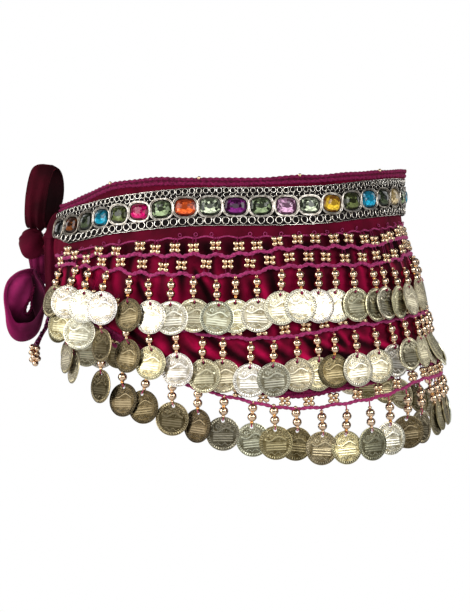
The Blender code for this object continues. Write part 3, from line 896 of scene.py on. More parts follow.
stones, bezels = Pile(), Pile()
for g, angle in enumerate(gem_places()):
    name = (FRONT_STONES + BACK_STONES)[g]
    deep, painted_highlight = STONES[name]
    spot, along, up, out = braid_point(angle, 0, BRAID_IN + 1.0)
    turn = turned(along, up, out) @ spin((0, 0, 1), rng.uniform(-5, 5))
    w, h = 15.4 * rng.uniform(0.95, 1.04), 11.9 * rng.uniform(0.96, 1.05)
    cut = 14
    levels = ((1.0, 0.0), (1.0, 0.9), (0.80, 2.0), (0.56, 2.75), (0.30, 3.1))
    points = []
    for share, lift in levels:
        for x, y in cushion(cut, w * share, h * share, 0.72 if share > 0.6 else 0.9):
            points.append((x, y, lift))
    faces = [tuple(range(cut))[::-1], tuple(4 * cut + k for k in range(cut))]
    for level in range(4):
        for k in range(cut):
            m = (k + 1) % cut
            a, b = level * cut, (level + 1) * cut
            if level == 0:
                faces.append((a + k, a + m, b + m, b + k))
            elif (k + level) % 2:
                faces += [(a + k, a + m, b + k), (a + m, b + m, b + k)]
            else:
                faces += [(a + k, a + m, b + m), (a + k, b + m, b + k)]
    # painted reflections: every facet has its own tone; facets in the lower middle take painted highlights, those at
    # the bottom edge, the sides and the top take painted shade, and the rest random tones
    flat_points, flat_faces, tones = [], [], []
    for f in faces:
        first = len(flat_points)
        flat_points += [points[i] for i in f]
        flat_faces.append(tuple(range(first, first + len(f))))
        middle = np.mean([points[i] for i in f], axis=0)
        share = 0.85 * rng.random() ** 4.0
        rich = name in ("pink", "turquoise", "teal", "amber", "orange")
        if len(f) == cut:
            share = 0.26 if rich else 0.04
        elif -0.36 * h < middle[1] < -0.10 * h and abs(middle[0]) < (0.36 if rich else 0.27) * w:
            share = 0.45 + 0.75 * rng.random()
        elif middle[1] < -0.40 * h or abs(middle[0]) > 0.43 * w:
            share = 0.02 + 0.10 * share
        elif middle[1] > 0.30 * h:
            share = 0.04 + 0.25 * share
        elif rich:
            share = 0.06 + 0.5 * rng.random() ** 1.5
        tone = [d + (b - d) * share for d, b in zip(deep, painted_highlight)]
        tones += [tone] * len(f)
    stones.add(shape_of(flat_points, flat_faces), turn, spot, np.array(tones))
    # two wires round each stone
    for big, lift, radius in ((1.0, 1.2, 0.62), (0.90, 0.9, 0.34)):
        ring_points = [(x, y, lift + 0.1 * math.sin(3 * i)) for i, (x, y) in enumerate(cushion(28, (w + 3.4) * big, (h + 3.2) * big, 0.74))]
        # the wires round the black, brown, dark and cream stones, which sit at the ends of the view, take the darker
        # copy: painted shade
        bezels.add(tube(ring_points, radius, 6, closed=True), turn, spot, slot=1 if name in ("black", "brown", "dark", "cream") else 0)
stones_piece = stones.make("stones", [glass], sharp=4, tint=True)
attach(stones_piece, "root")
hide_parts(*[f"gem_{g + 1:02d}" for g in range(GEMS)])
bezel_piece = bezels.make("stone_wires", [bezel_silver, bezel_painted_shade])
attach(bezel_piece, "root")

# ---------------------------------------------------------------- nets and rows

# Where the view shows the first net's bead clusters: upper row, then lower row.
CLUSTERS_A = (
    (100, 251), (117, 251), (141, 246), (156, 249), (175.5, 247.6), (194, 247.6), (216, 245.5), (239, 246),
    (257, 245.4), (277, 241), (297, 239), (314.6, 238.4), (333, 238.4), (347.5, 238), (363, 239), (373, 240.7),
    (383, 238), (389, 236), (397, 232.7), (402, 229.6),
)
CLUSTERS_B = (
    (62, 261), (69, 251), (76.5, 255), (88, 259), (103, 262), (121.5, 262), (143, 264), (164, 267), (182, 265), (206.6, 264),
    (228, 264), (250, 263), (269.5, 260), (289, 257), (308, 256.4), (325, 256.7), (344, 258), (361, 257),
    (374.6, 255), (385, 258), (392.6, 253.4), (401.4, 248.8), (406, 243.4),
)
# Pendants that the view shows: the upper bead, the coin, the coin's turn about
# its upright axis, how far it lies over its neighbours, and its tone (below zero
# where it is silvery): partly the metal's own colour and partly painted light and
# shade for how brightly the coin catches the lamps.
PENDANTS_1 = (
    (59.8, 274.4, 53.5, 301, 5, 0.2, 0.40), (75.8, 271.2, 66, 302, 26, 5.0, 0.95), (88.2, 274.4, 83, 306, 18, 3.2, 0.97),
    (106, 276.8, 101.5, 308, 11, 4.6, 1.0), (129.2, 282, 128, 315, -14, 1.0, 0.24), (148.6, 285, 150, 317, -8, 2.0, 1.0),
    (171, 285, 171, 318, 5, 1.0, 0.95), (193.5, 282.5, 194, 315.4, -3, 0.0, 0.68), (216.6, 286, 217, 318, 3, 2.4, -0.56),
    (235.6, 283, 235, 316, 0, 0.2, 0.85), (257, 282, 257.5, 315, 0, 1.2, 0.92), (281.6, 275.6, 281, 308, 3, 2.2, 0.95),
    (300, 275, 301, 306, 2, 3.0, 1.0), (318.5, 275, 319, 306, 0, 1.8, 1.0), (335, 274, 336, 305.5, 0, 0.7, 0.95),
    (353, 274.5, 357, 304.6, 5, 1.8, 0.80), (373, 274.5, 377, 304.7, 10, 0.8, 0.64), (382.6, 273, 387.5, 303, 12, 1.6, 0.70),
    (394, 273.6, 400, 302, 14, 1.1, 0.66), (404.5, 273, 410, 299, 10, 1.6, 0.55), (412, 270, 417.5, 294, 6, 0.8, 0.55),
)
PENDANTS_2 = (
    (60, 292, 60, 324, 12, 1.5, 0.60), (79, 300, 79, 332.6, 25, 5.0, 1.0), (101, 313.5, 101, 345.5, -18, 1.5, 0.36),
    (126, 324, 127, 356, -14, 1.0, 0.27), (149, 331, 150, 363, -6, 2.2, 0.62), (176, 337.4, 177, 370, -8, 0.6, 1.0),
    (202.6, 343, 204, 376, -12, 1.3, 0.65), (223, 344, 223, 376, 0, -0.2, 0.56), (250.7, 348, 250, 380.7, 0, 1.3, 1.0),
    (274, 346.7, 274, 379.6, 2, 2.7, -0.52), (297, 343, 298.6, 375, 0, 0.9, 0.60), (317, 341, 318, 374, 0, -0.9, 0.62),
    (334.5, 340, 335, 371, 3, 1.2, 0.28), (355, 336.7, 358.6, 369.6, 0, 3.2, 0.82), (375, 334.4, 379, 366, -7, 1.4, 0.80),
    (391, 329, 396, 360.5, -4, -0.9, 0.92), (404, 324.5, 410.6, 354, 0, 1.7, 0.72), (416, 323, 423, 351, 6, 1.8, 0.60),
    (421.5, 320.5, 430, 348, 4, 0.6, 0.62), (426, 318, 434, 345, 4, 1.6, 0.58), (427.8, 315, 435.2, 343, 0, 0.8, 0.56),
)
PENDANTS_3 = (
    (66, 325, 66, 357, -18, 1.0, 0.42), (74, 335, 73, 367, -23, 0.0, 0.50), (101, 354.5, 100, 386.5, -20, 0.8, 0.38),
    (123, 368, 123, 400, -8, 0.4, 0.16), (147.6, 375, 143, 407, -6, 0.6, 0.20), (172, 387, 172, 419, 0, 0.6, 0.37),
    (198, 394, 197, 426, -30, 0.6, 0.15), (224, 402, 223, 434, 0, 0.8, -0.40), (252.7, 408, 253, 440, 0, 0.4, -0.52),
    (274, 411, 276, 443, 2, 1.4, 0.42), (296, 413, 296, 444, 0, 0.4, 0.30), (322, 417, 322, 448.5, 0, 0.8, 0.42),
    (347, 416, 347, 447.7, 0, 0.4, 0.55), (370.5, 413, 373, 444, 0, 1.2, -0.44), (390, 407, 391, 438.5, -11, 0.4, 1.0),
    (407.6, 400, 408, 432, -34, 0.6, 0.27), (421, 393, 422, 427, 0, 1.0, 0.40), (431, 389.5, 436, 419, 0, 0.2, 0.42),
    (436, 387.5, 440.5, 414, 2, 1.2, 0.45),
    (440, 384, 445, 409, 0, 0.4, 0.42), (443.1, 381, 447.6, 405, 0, 1.0, 0.42),
)


def arc_step(angle, height, off, length):
    p, q = on_figure(angle, height, off), on_figure(angle + 0.5, height, off)
    return 0.5 * length / np.linalg.norm(q - p)


def net_off(angle):
    return NET_IN + room(angle)


def upper_off(angle):
    return net_off(angle) - 1.9 * over_hip(angle)


def below_hem(angle, near):
    return near + 0.35 * fold(angle, line("hem", angle)) + 4.0 * over_hip(angle)


def cord_4(angle):
    return line("hem", angle) - line("net_3_drop", angle)


def cord_height(row, angle):
    return cord_4(angle) if row == 3 else line(("", "cord_2", "cord_3")[row], angle)


def coin_off(row, angle):
    return (0, ROW_1 + room(angle) + 0.9 - 5.6 * over_hip(angle), NET_IN + room(angle) + 1.6 + 1.5 * over_hip(angle), below_hem(angle, 0.2))[row]


def bead_off(row, angle):
    return (0, NET_IN + room(angle) + 3.4 - 2.1 * over_hip(angle), NET_IN + room(angle) + 1.7, below_hem(angle, 1.4))[row]


def rest_of_row(row, last, pitch):
    """Pendants on round the side and back, evenly as such rows are knotted, a little uneven."""
    made = []
    angle = last
    k = 0
    while True:
        height = cord_height(row, angle)
        angle += arc_step(angle, height, 6, pitch * rng.uniform(0.92, 1.08))
        if angle > NET_END - 1.0:
            break
        side_on = 78 < angle < 112
        made.append((angle, rng.gauss(0, 5) if side_on or rng.random() < 0.85 else rng.choice((-1, 1)) * rng.uniform(25, 50), 0.3 + 1.5 * (k % 2) + rng.uniform(-0.2, 0.3), rng.choice((0.36, 0.42, 0.5, -0.5, 0.6, 0.7, -0.7, 0.85, 0.95))))
        k += 1
    return made


rows = {}
for row, table in ((1, PENDANTS_1), (2, PENDANTS_2), (3, PENDANTS_3)):
    made = []
    for bx, by, cx, cy, yaw, lift, tone in table:
        bead = at_pixel(bx, by, bead_off(row, at_pixel(bx, by, 5)[0]))
        coin_at = at_pixel(cx, cy, coin_off(row, at_pixel(cx, cy, 5)[0]) + lift * (0.95 if row == 1 else 0.7))
        made.append((bead, coin_at, yaw, lift, tone))
    last = max(m[0][0] for m in made)
    for angle, yaw, lift, tone in rest_of_row(row, last, 14.6):
        height = cord_height(row, angle)
        made.append(((angle, height - 6.6 + rng.uniform(-0.6, 0.4)), (angle + rng.uniform(-0.4, 0.4), height - 30.6 + rng.uniform(-0.9, 0.9)), yaw, lift, tone))
    made.sort(key=lambda m: m[0][0])
    rows[row] = made


def clusters_from(table, off, last_pitch, height):
    made = [at_pixel(x, y, off) for x, y in table]
    angle = max(a for a, _ in made)
    while True:
        angle += arc_step(angle, height(angle), 6, last_pitch * rng.uniform(0.93, 1.07))
        if angle > NET_END:
            break
        made.append((angle, height(angle) + rng.uniform(-0.4, 0.4)))
    return sorted(made)


def middle_1a(a):
    return 0.5 * (strip_bottom(a) + line("cord_1", a)) - 0.4


def middle_1b(a):
    return 0.5 * (line("cord_1", a) + line("cord_2", a))


net_a = clusters_from(CLUSTERS_A, 6.5, 14.6, middle_1a)
net_b = clusters_from(CLUSTERS_B, 6.5, 14.6, middle_1b)
net_2 = [((p[0][0] + q[0][0]) / 2, cord_height(2, (p[0][0] + q[0][0]) / 2) + 5.3) for p, q in zip(rows[2], rows[2][1:])]
net_3 = [((p[0][0] + q[0][0]) / 2, cord_height(3, (p[0][0] + q[0][0]) / 2) + 5.2) for p, q in zip(rows[3], rows[3][1:])]

# Cords, drawn up under the clusters above them and down at what hangs from them.


def pulled(height, ups, downs, most, reach=2.6):
    def at(angle):
        move = 0.0
        for a in ups:
            if abs(angle - a) < 9:
                move += math.exp(-(((angle - a) / reach) ** 2))
        for a in downs:
            if abs(angle - a) < 9:
                move -= math.exp(-(((angle - a) / reach) ** 2))
        return height(angle) + most * max(-1.25, min(1.25, move))

    return at


cord_lines = {
    1: pulled(lambda a: line("cord_1", a), [a for a, _ in net_a], [a for a, _ in net_b], 1.9),
    2: pulled(lambda a: line("cord_2", a), [a for a, _ in net_b], [m[0][0] for m in rows[1]], 1.9),
    3: pulled(lambda a: line("cord_3", a), [a for a, _ in net_2], [m[0][0] for m in rows[2]], 1.2),
    4: pulled(cord_4, [a for a, _ in net_3], [m[0][0] for m in rows[3]], 0.6),
}
cord_offs = {
    1: lambda a: upper_off(a) + 1.5,
    2: lambda a: upper_off(a) + 1.5,
    3: lambda a: net_off(a) + 1.5,
    4: lambda a: below_hem(a, 1.5),
}
for k in (1, 2, 3, 4):
    pile = Pile()
    rope, _ = around(NET_START - 1.5, NET_END + 1.5, 0.95, cord_lines[k], cord_offs[k])
    pile.add(tube(rope, 1.3, 8, ply=0.24, pitch=4.6, flat=0.9))
    piece = pile.make(f"crochet_cord_{k}", [crochet])
    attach(piece, "root")
    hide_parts(f"cord_{k}")

small = ball(2.4, 1.95, 1.8, 12, 7)


def clusters(name, places, off, top, bottom, nodes_replaced, edge=None):
    """Four seed beads drawn together, and the strands that hold them between two lines."""
    pile = Pile()
    for angle, height in places:
        spot, along, up, out = frame_at(angle, height, off(angle) + 1.5)
        lean = spin((0, 0, 1), rng.uniform(-7, 7))
        for sx in (-1, 1):
            for sy in (-1, 1):
                turn = turned(along, up, out) @ lean @ spin((0, 0, 1), sx * sy * 20 + rng.uniform(-6, 6))
                local = lean @ np.array((sx * 2.15, sy * 1.85, rng.uniform(-0.15, 0.25)))
                pile.add(small, turn, spot + turned(along, up, out) @ local, slot=1)
        for sx in (-1, 1):
            wide = math.degrees(2.1 / 130)
            high, low = top(angle), bottom(angle)
            tight = 1.0 if high - height < 7 else 0.75
            path = []
            for t in np.linspace(0, 1, 7):
                h = high + (low - high) * t
                bow = 0.6 + 0.4 * math.exp(-(((h - height) / 4.5) ** 2))
                path.append(on_figure(angle + sx * wide * bow * tight, h, off(angle) + 1.0))
            pile.add(tube(path, 0.42, 5), slot=2)
    if edge:
        edge(pile)
    piece = pile.make(name, [crochet, seed_gold, crochet_fuzz])
    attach(piece, "root")
    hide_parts(*nodes_replaced)
    return piece


def strip_edge(pile):
    """The scalloped line of fine stitches under the velvet strip, with its loops."""
    swing = [a for a, _ in net_a]

    def scallop(a):
        near = min(abs(a - s) for s in swing)
        return strip_bottom(a) - 0.3 - 1.5 * math.exp(-((near / 2.0) ** 2))

    rope, _ = around(NET_START - 4, NET_END + 4, 1.3, scallop, lambda a: upper_off(a) * 0.55 + 1.6)
    pile.add(tube(rope, 0.62, 6, ply=0.15, pitch=3))
    loopings(pile, NET_START, NET_END, lambda a: strip_bottom(a) + 1.1, lambda a: 3.0, 13, 1.3, 0.3, chance=0.8)


clusters("net_beads_upper", net_a, upper_off, lambda a: strip_bottom(a) - 0.6, cord_lines[1], ("net_1a",), strip_edge)
clusters("net_beads_lower", net_b, upper_off, cord_lines[1], cord_lines[2], ("net_1b",))
clusters("net_beads_middle", net_2, net_off, lambda a: cord_height(2, a) + 11.5, cord_lines[3], ("net_2",))
clusters("net_beads_hem", net_3, lambda a: below_hem(a, 0.6), lambda a: line("hem", a) - 2.0, cord_lines[4], ("net_3",))

# Coins: a real hole, a raised rim, and the design's main forms in relief.
COIN_R, COIN_HALF = 12.3, 0.42


def relief(x, y):
    r = math.hypot(x, y)
    if r > 0.995:
        return -0.12
    if r > 0.93:
        return 0.22
    if r > 0.80:
        return 0.10 + 0.07 * math.sin(22 * math.atan2(y, x))
    up = 0.05
    up += 0.12 * math.exp(-(((y - 0.24 - 0.12 * math.sin(5.6 * x + 0.6)) / 0.06) ** 2)) * step(0.70, 0.56, abs(x))
    return up


def coin_shape():
    hole = (0.0, 0.76)
    hole_r = 0.105
    points = []
    for radius, count in ((1.0, 56), (0.965, 56), (0.925, 56), (0.865, 56), (0.80, 44)):
        for k in range(count):
            a = 2 * math.pi * (k + (0.5 if radius in (0.965, 0.865) else 0)) / count
            points.append((radius * math.cos(a), radius * math.sin(a)))
    pitch = 0.092
    rows_up = int(0.75 / (pitch * 0.866))
    for j in range(-rows_up, rows_up + 1):
        for i in range(-9, 10):
            x, y = (i + 0.5 * (j % 2)) * pitch, j * pitch * 0.866
            if math.hypot(x, y) < 0.745:
                points.append((x, y))
    points = [p for p in points if math.hypot(p[0] - hole[0], p[1] - hole[1]) > hole_r * 1.35 or math.hypot(*p) > 0.99]
    ring = [(hole[0] + hole_r * math.cos(2 * math.pi * k / 12), hole[1] + hole_r * math.sin(2 * math.pi * k / 12)) for k in range(12)]
    first = len(points)
    points += ring
    edges = [(k, (k + 1) % 56) for k in range(56)] + [(first + k, first + (k + 1) % 12) for k in range(12)]
    done = delaunay_2d_cdt([Vector(p) for p in points], edges, [], 0, 1e-6)
    flat = [tuple(v) for v in done[0]]
    triangles = []
    for f in done[2]:
        mx = sum(flat[i][0] for i in f) / 3
        my = sum(flat[i][1] for i in f) / 3
        if math.hypot(mx - hole[0], my - hole[1]) < hole_r * 0.93 or math.hypot(mx, my) > 0.9995:
            continue
        a, b, c = (flat[i] for i in f)
        area = (b[0] - a[0]) * (c[1] - a[1]) - (b[1] - a[1]) * (c[0] - a[0])
        triangles.append(tuple(f) if area > 0 else tuple(f)[::-1])
    count = len(flat)
    full, faces, uvs = [], [], []
    dish = [0.35 * (x * x + y * y) for x, y in flat]
    for x, y in flat:
        near_hole = math.hypot(x - hole[0], y - hole[1]) < hole_r * 1.2
        full.append((x * COIN_R, y * COIN_R, COIN_HALF + (0.02 if near_hole else relief(x, y)) - 0.35 * (x * x + y * y)))
    for x, y in flat:
        near_hole = math.hypot(x - hole[0], y - hole[1]) < hole_r * 1.2
        full.append((x * COIN_R, y * COIN_R, -COIN_HALF - (0.02 if near_hole else relief(-x, y)) * 0.8 - 0.35 * (x * x + y * y)))
    for f in triangles:
        faces.append(f)
        uvs += [(0.5 + flat[i][0] / 2, 0.5 + flat[i][1] / 2) for i in f]
    for f in triangles:
        back = tuple(count + i for i in f[::-1])
        faces.append(back)
        uvs += [(0.5 - flat[i - count][0] / 2, 0.5 + flat[i - count][1] / 2) for i in back]
    # the coin's edge and the wall of its hole, from the triangles' open edges
    used = {}
    for f in triangles:
        for a, b in zip(f, f[1:] + f[:1]):
            used[(a, b)] = used.get((a, b), 0) + 1
    for a, b in used:
        if (b, a) not in used:
            faces.append((b, a, count + a, count + b))
            uvs += [(0.5 + flat[i % count][0] / 2, 0.5 + flat[i % count][1] / 2) for i in (b, a, count + a, count + b)]
    return shape_of(full, faces, np.array(uvs))


coin = coin_shape()
bead = ball(3.4, 3.4, 3.25, 16, 10)
seed_flat = ball(1.5, 1.5, 1.05, 9, 6)
seed_round = ball(1.35, 1.35, 1.25, 9, 6)


def metal_and_painted_light_tone(tone):
    """From dark bronze, through olive brass, to pale brass; a negative tone is a cooler, silvery coin. The tones carry
    the metal's own colour and painted light and shade.
    """
    if tone < 0:
        return metal_and_painted_light_tone(-tone) * np.array((0.90, 1.0, 1.22))
    stops = ((0.0, (0.04, 0.029, 0.015)), (0.2, (0.13, 0.103, 0.056)), (0.35, (0.27, 0.220, 0.122)), (0.5, (0.50, 0.440, 0.265)), (0.7, (0.76, 0.715, 0.51)), (0.85, (0.91, 0.87, 0.66)), (1.0, (1.0, 0.97, 0.84)))
    for (a, p), (b, q) in zip(stops, stops[1:]):
        if tone <= b or b == 1.0:
            t = min(max((tone - a) / (b - a), 0), 1)
            return np.array([x + (y - x) * t for x, y in zip(p, q)])


for row in (1, 2, 3):
    coins, beads = Pile(), Pile()
    for (b_angle, b_height), (c_angle, c_height), yaw, lift, tone in rows[row]:
        edge_side = abs(b_angle) > 50
        off = coin_off(row, c_angle) + lift * (0.95 if row == 1 else 0.7)
        spot, along, up, out = frame_at(c_angle, c_height, off)
        drop = up * 0.8 + np.array((0, 0, 0.2))
        roll = rng.uniform(-7, 7)
        lean = (0, 6 - 6 * over_hip(c_angle), 4 + 16 * over_hip(c_angle), 2)[row] * step(50, 66, c_angle) * step(125, 105, c_angle)
        turn = turned(along, up, out) @ spin((0, 1, 0), yaw + rng.uniform(-1.2, 1.2)) @ spin((1, 0, 0), rng.uniform(-3.2, 3.2) * (1 - 0.5 * over_hip(c_angle)) - lean) @ spin((0, 0, 1), roll)
        # each coin's colour comes from its tone: partly its metal, partly painted light and shade
        colour = metal_and_painted_light_tone(tone + rng.uniform(-0.015, 0.015)) * np.array((1.0, rng.uniform(0.97, 1.01), rng.uniform(0.9, 1.06)))
        coins.add(coin, turn, spot, tint=np.clip(colour, 0, 1))
        hole = spot + turn @ np.array((0, 0.76 * COIN_R, 0))
        rim_top = spot + turn @ np.array((0, COIN_R * 1.02, 0.2))
        # the string of beads from the cord down to the coin
        start = on_figure(b_angle, cord_lines[row + 1](b_angle) if row < 3 else cord_lines[4](b_angle), cord_offs[row + 1](b_angle) if row < 3 else cord_offs[4](b_angle))
        first = on_figure(b_angle, b_height, bead_off(row, b_angle))
        toward = rim_top - first
        length = np.linalg.norm(toward)
        down = unit(0.5 * toward / length + 0.5 * unit(on_figure(b_angle, b_height - 8, bead_off(row, b_angle)) - first))
        second = first + down * min(8.2, max(length - 6.2, 6.6)) + np.array((rng.uniform(-0.3, 0.3), 0, 0))
        side = unit(np.cross(down, out))
        stand = turned(side, np.cross(-down, side), -down)
        for centre in (first, second):
            beads.add(bead, stand, centre, slot=0)
        beads.add(seed_flat, stand, first - down * 4.1, slot=1)
        beads.add(seed_round, stand, (first + second) / 2, slot=2 if rng.random() < 0.3 else 1)
        beads.add(seed_flat, stand, second + down * 3.9, slot=2 if rng.random() < 0.25 else 1)
        ends = second + down * 4.6
        beads.add(tube([start, start + (first - start) * 0.5, first - down * 3.0], 0.55, 5), slot=3)
        # a loop of thread through the hole and over the rim
        front, back = hole + turn @ np.array((0.25, 0.3, 0.95)), hole + turn @ np.array((-0.25, 0.3, -0.95))
        beads.add(tube([ends, (ends + front) / 2 + turn @ np.array((0.1, 0, 0.5)), front, hole, back, (ends + back) / 2 + turn @ np.array((-0.1, 0, -0.5)), ends], 0.38, 5), slot=3)
    piece = coins.make(f"coins_{row}", [struck], sharp=38, uv=True, tint=True)
    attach(piece, "root")
    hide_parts(f"fringe_{row}")
    piece = beads.make(f"bead_strings_{row}", [gold, seed_gold, amber, thread])
    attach(piece, "root")
    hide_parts(f"fringe_{row}")

# ---------------------------------------------------------------- the bow


def cloth_ribbon(name, path, across, profile, thick, materials, closed, painted_shading=None):
    """A ribbon of velvet. profile gives, for a place along and across, how far out it stands."""
    count, wide = len(path), 15
    outer = np.zeros((wide, count, 3))
    inner = np.zeros_like(outer)
    tones = np.ones((2,) + outer.shape)
    for i in range(count):
        before = path[(i - 1) % count] if closed or i else path[i]
        after = path[(i + 1) % count] if closed or i < count - 1 else path[i]
        out = unit(np.cross(after - before, across[i]))
        for j in range(wide):
            v = -1 + 2 * j / (wide - 1)
            lift = profile(i / count, v)
            spot = path[i] + across[i] * v + out * lift
            outer[j, i] = spot + out * thick / 2
            inner[j, i] = spot - out * thick / 2
            if painted_shading:
                tones[0, j, i], tones[1, j, i] = painted_shading(i / count, v)
    return shell(name, outer, inner, materials, wrap=closed, tints=tones.reshape(-1, 3) if painted_shading else None)


def sheet_on(name, grid, thick, materials, wrap, tones=None):
    """A thin closed sheet on a grid of points, rows by columns, from its own normals."""
    if wrap:
        along = np.roll(grid, -1, axis=1) - np.roll(grid, 1, axis=1)
    else:
        along = np.gradient(grid, axis=1)
    over = np.gradient(grid, axis=0)
    normal = np.cross(along, over)
    normal /= np.maximum(np.linalg.norm(normal, axis=2, keepdims=True), 1e-6)
    both = None if tones is None else np.repeat(tones.reshape(-1, 1), 3, axis=1)
    return shell(name, grid + normal * thick / 2, grid - normal * thick / 2, materials, wrap=wrap, tints=both)


POINTS = 88
path, across = [], []
for k in range(POINTS):
    turn = 2 * math.pi * k / POINTS
    up, front = math.sin(turn), math.cos(turn)
    high = 0.5 + 0.5 * up
    x = -145.2 - 5.8 * front - 6.6 * (1 - high) ** 2
    path.append(np.array((x, -1.0 - (3.6 + 6.6 * high) * front, 10.6 + 23.2 * up)))
    wide = 7.4 + 0.9 * min(1.0, 2 * high) - 0.8 * max(up, 0) ** 14
    across.append(np.array((wide, 0.0, -0.8 * high)))


def upper_folds(u, v):
    # gathered into the knot at the bottom, with creases that fade upward
    up = math.sin(2 * math.pi * u)
    low = (0.5 - 0.5 * up) ** 1.5
    swell = 1.5 * (1 - v**4) * (0.4 + 0.6 * (0.5 + 0.5 * up))
    crease = -1.2 * math.exp(-(((v - 0.42 - 0.12 * up) / 0.13) ** 2)) + 0.9 * math.exp(-(((v - 0.7 - 0.1 * up) / 0.16) ** 2))
    crease += -0.7 * math.exp(-(((v + 0.30 + 0.25 * math.cos(2 * math.pi * u)) / 0.10) ** 2))
    return -swell + 0.9 * low * math.cos(v * 8.0 + 0.6) + crease * (0.15 + 0.85 * low)


def upper_loop_painted_light(u, v):
    # painted shade: the back turn is darkened as if in the front one's shade, and the front turn is painted lighter
    # near one edge and darker towards the other
    near = 0.5 + 0.5 * math.cos(2 * math.pi * u)
    face = 0.30 + 0.85 * near**0.8 + near * (0.30 * math.exp(-(((v + 0.7) / 0.3) ** 2)) - 0.35 * step(0.1, 1.0, v))
    return 0.45 * face, face


upper_loop = cloth_ribbon("bow_upper", path, across, upper_folds, 1.7, [velvet_bow_painted_shade], True, upper_loop_painted_light)

# Lower loop: the ribbon turns in behind to a small slit under the neck, so it makes
# a deep hollow, and its front edge rolls in over the bottom.
LOOP_MID = np.array((-162.2, 0.0, -71.6))
SLIT = np.array((-160.8, 0.0, -72.6))
NECK = np.array((-151.6, 0.0, -44.6))
PROFILE = {
    "v": (0.0, 0.10, 0.24, 0.42, 0.60, 0.78, 0.90, 1.0),
    "reach": (0.0, 0.55, 1.0, 0.98, 0.86, 0.60, 0.36, 0.20),
    "y": (-9.2, -10.6, -7.4, -1.5, 4.5, 9.0, 10.2, 9.6),
}


def loop_point(turn, v):
    c, s = math.cos(turn), math.sin(turn)
    away = (turn - math.pi / 2 + math.pi) % (2 * math.pi) - math.pi
    under = (turn - 1.5 * math.pi + math.pi) % (2 * math.pi) - math.pi
    lip = 0.90 - 0.36 * math.exp(-((under / 1.10) ** 2)) - 0.08 * math.exp(-(((under + 1.2) / 0.6) ** 2))
    reach = column(PROFILE, "v", "reach", v)
    if v < 0.24:
        reach = lip + (1 - lip) * reach
    y = column(PROFILE, "v", "y", v)
    middle = LOOP_MID + (SLIT - LOOP_MID) * v * v
    uneven = 1 + 0.035 * math.sin(3 * turn + 1.0) + 0.02 * math.sin(5 * turn)
    shut = 1 - min(1.0, 1.3 * v * v) * step(-0.85, -0.05, s)
    # its right side stands square beside the strap
    wide = 16.0 * (1.0 + 0.13 * step(0.0, 0.5, c) * step(-0.6, 0.3, s))
    sweep = math.copysign(abs(c) ** (0.72 if c > 0 and s > 0 else 1.0), c)
    spot = middle + np.array((wide * reach * sweep * uneven * shut, y, 27.0 * reach * s * uneven))
    drawn = math.exp(-((away / 0.40) ** 2))
    slit = (v**3) * (0.5 + 0.5 * s) ** 1.2
    neck = NECK + np.array((2.2 * math.sin(v * 9.0) * (1 - drawn) + 3.6 * (v - 0.5), 1.0 + 6.0 * (v - 0.5), 0))
    spot = spot + (neck - spot) * max(drawn, slit * 0.96)
    # creases that run from the neck into the cloth
    ripple = math.sin(v * 17.0 + 0.6) * math.exp(-((away / 1.0) ** 2)) * (1 - drawn)
    return spot + np.array((1.1 * ripple * c, -0.8 * ripple, 0.5 * ripple))


grid = np.zeros((34, 120, 3))
tones = np.zeros((2, 34, 120))
for i in range(34):
    for j in range(120):
        turn, v = 2 * math.pi * j / 120, i / 33
        grid[i, j] = loop_point(turn, v)
        # painted light and shade: the lip and the far wall on the left are painted light and the hollow painted dark,
        # with painted crease lines on the wall and a painted highlight and dark line along the lip's edge
        crease = 0.78 + 0.42 * math.sin(16.0 * v + 2.4 * turn)
        lip = 0.20 + 1.75 * (0.5 + 0.5 * math.cos(turn - 3.15)) ** 2.2
        wall = 0.06 + 2.1 * step(-155.0, -165.0, grid[i, j, 0]) * step(-86.0, -66.0, grid[i, j, 2])
        wall *= 1 + (crease - 1) * step(-80.0, -62.0, grid[i, j, 2])
        wall += 0.30 * step(-66.0, -54.0, grid[i, j, 2]) * (0.5 + 0.5 * math.sin(v * 19.0))
        lip *= 1 + 0.45 * math.exp(-((v / 0.035) ** 2)) - 0.25 * math.exp(-(((v - 0.075) / 0.03) ** 2))
        tones[0, i, j] = 0.25 + (wall - 0.25) * step(0.22, 0.34, v)
        tones[1, i, j] = lip + (0.5 + 0.15 * math.sin(turn * 3) - lip) * step(0.22, 0.5, v)
lower_loop = sheet_on("bow_lower", grid, 1.5, [velvet_loop_painted_light], True, tones)

# the knot: bound cloth with creases that wind round it
KNOT = np.array((-155.5, -1.0, -25.0))
points, faces = [], []
rings, spokes = 34, 72
for r in range(rings + 1):
    a = math.pi * r / rings
    for k in range(spokes):
        b = 2 * math.pi * k / spokes
        n = np.array((math.sin(a) * math.cos(b), math.sin(a) * math.sin(b), math.cos(a)))
        wind = b * 1.0 + a * 2.2
        crease = -1.5 * math.exp(-((math.sin(wind / 2 + 0.4) / 0.13) ** 2)) - 1.1 * math.exp(-((math.sin(wind / 2 - 0.7 + 0.5 * a) / 0.10) ** 2))
        crease += 0.5 * math.sin(3 * b + 4 * a) - 0.9 * math.exp(-((math.sin(b / 2 + 1.1 - 0.8 * a) / 0.09) ** 2))
        size = np.array((10.6, 10.3, 12.2)) * (1 - 0.06 * n[0]) + crease * math.sin(a)
        points.append(KNOT + n * size)
for r in range(rings):
    for k in range(spokes):
        m = (k + 1) % spokes
        faces.append((r * spokes + k, (r + 1) * spokes + k, (r + 1) * spokes + m, r * spokes + m))
shape = shape_of(points, faces)
knot = mesh_from("bow_knot_cloth", shape[0], shape[1], shape[2], [velvet_bow])

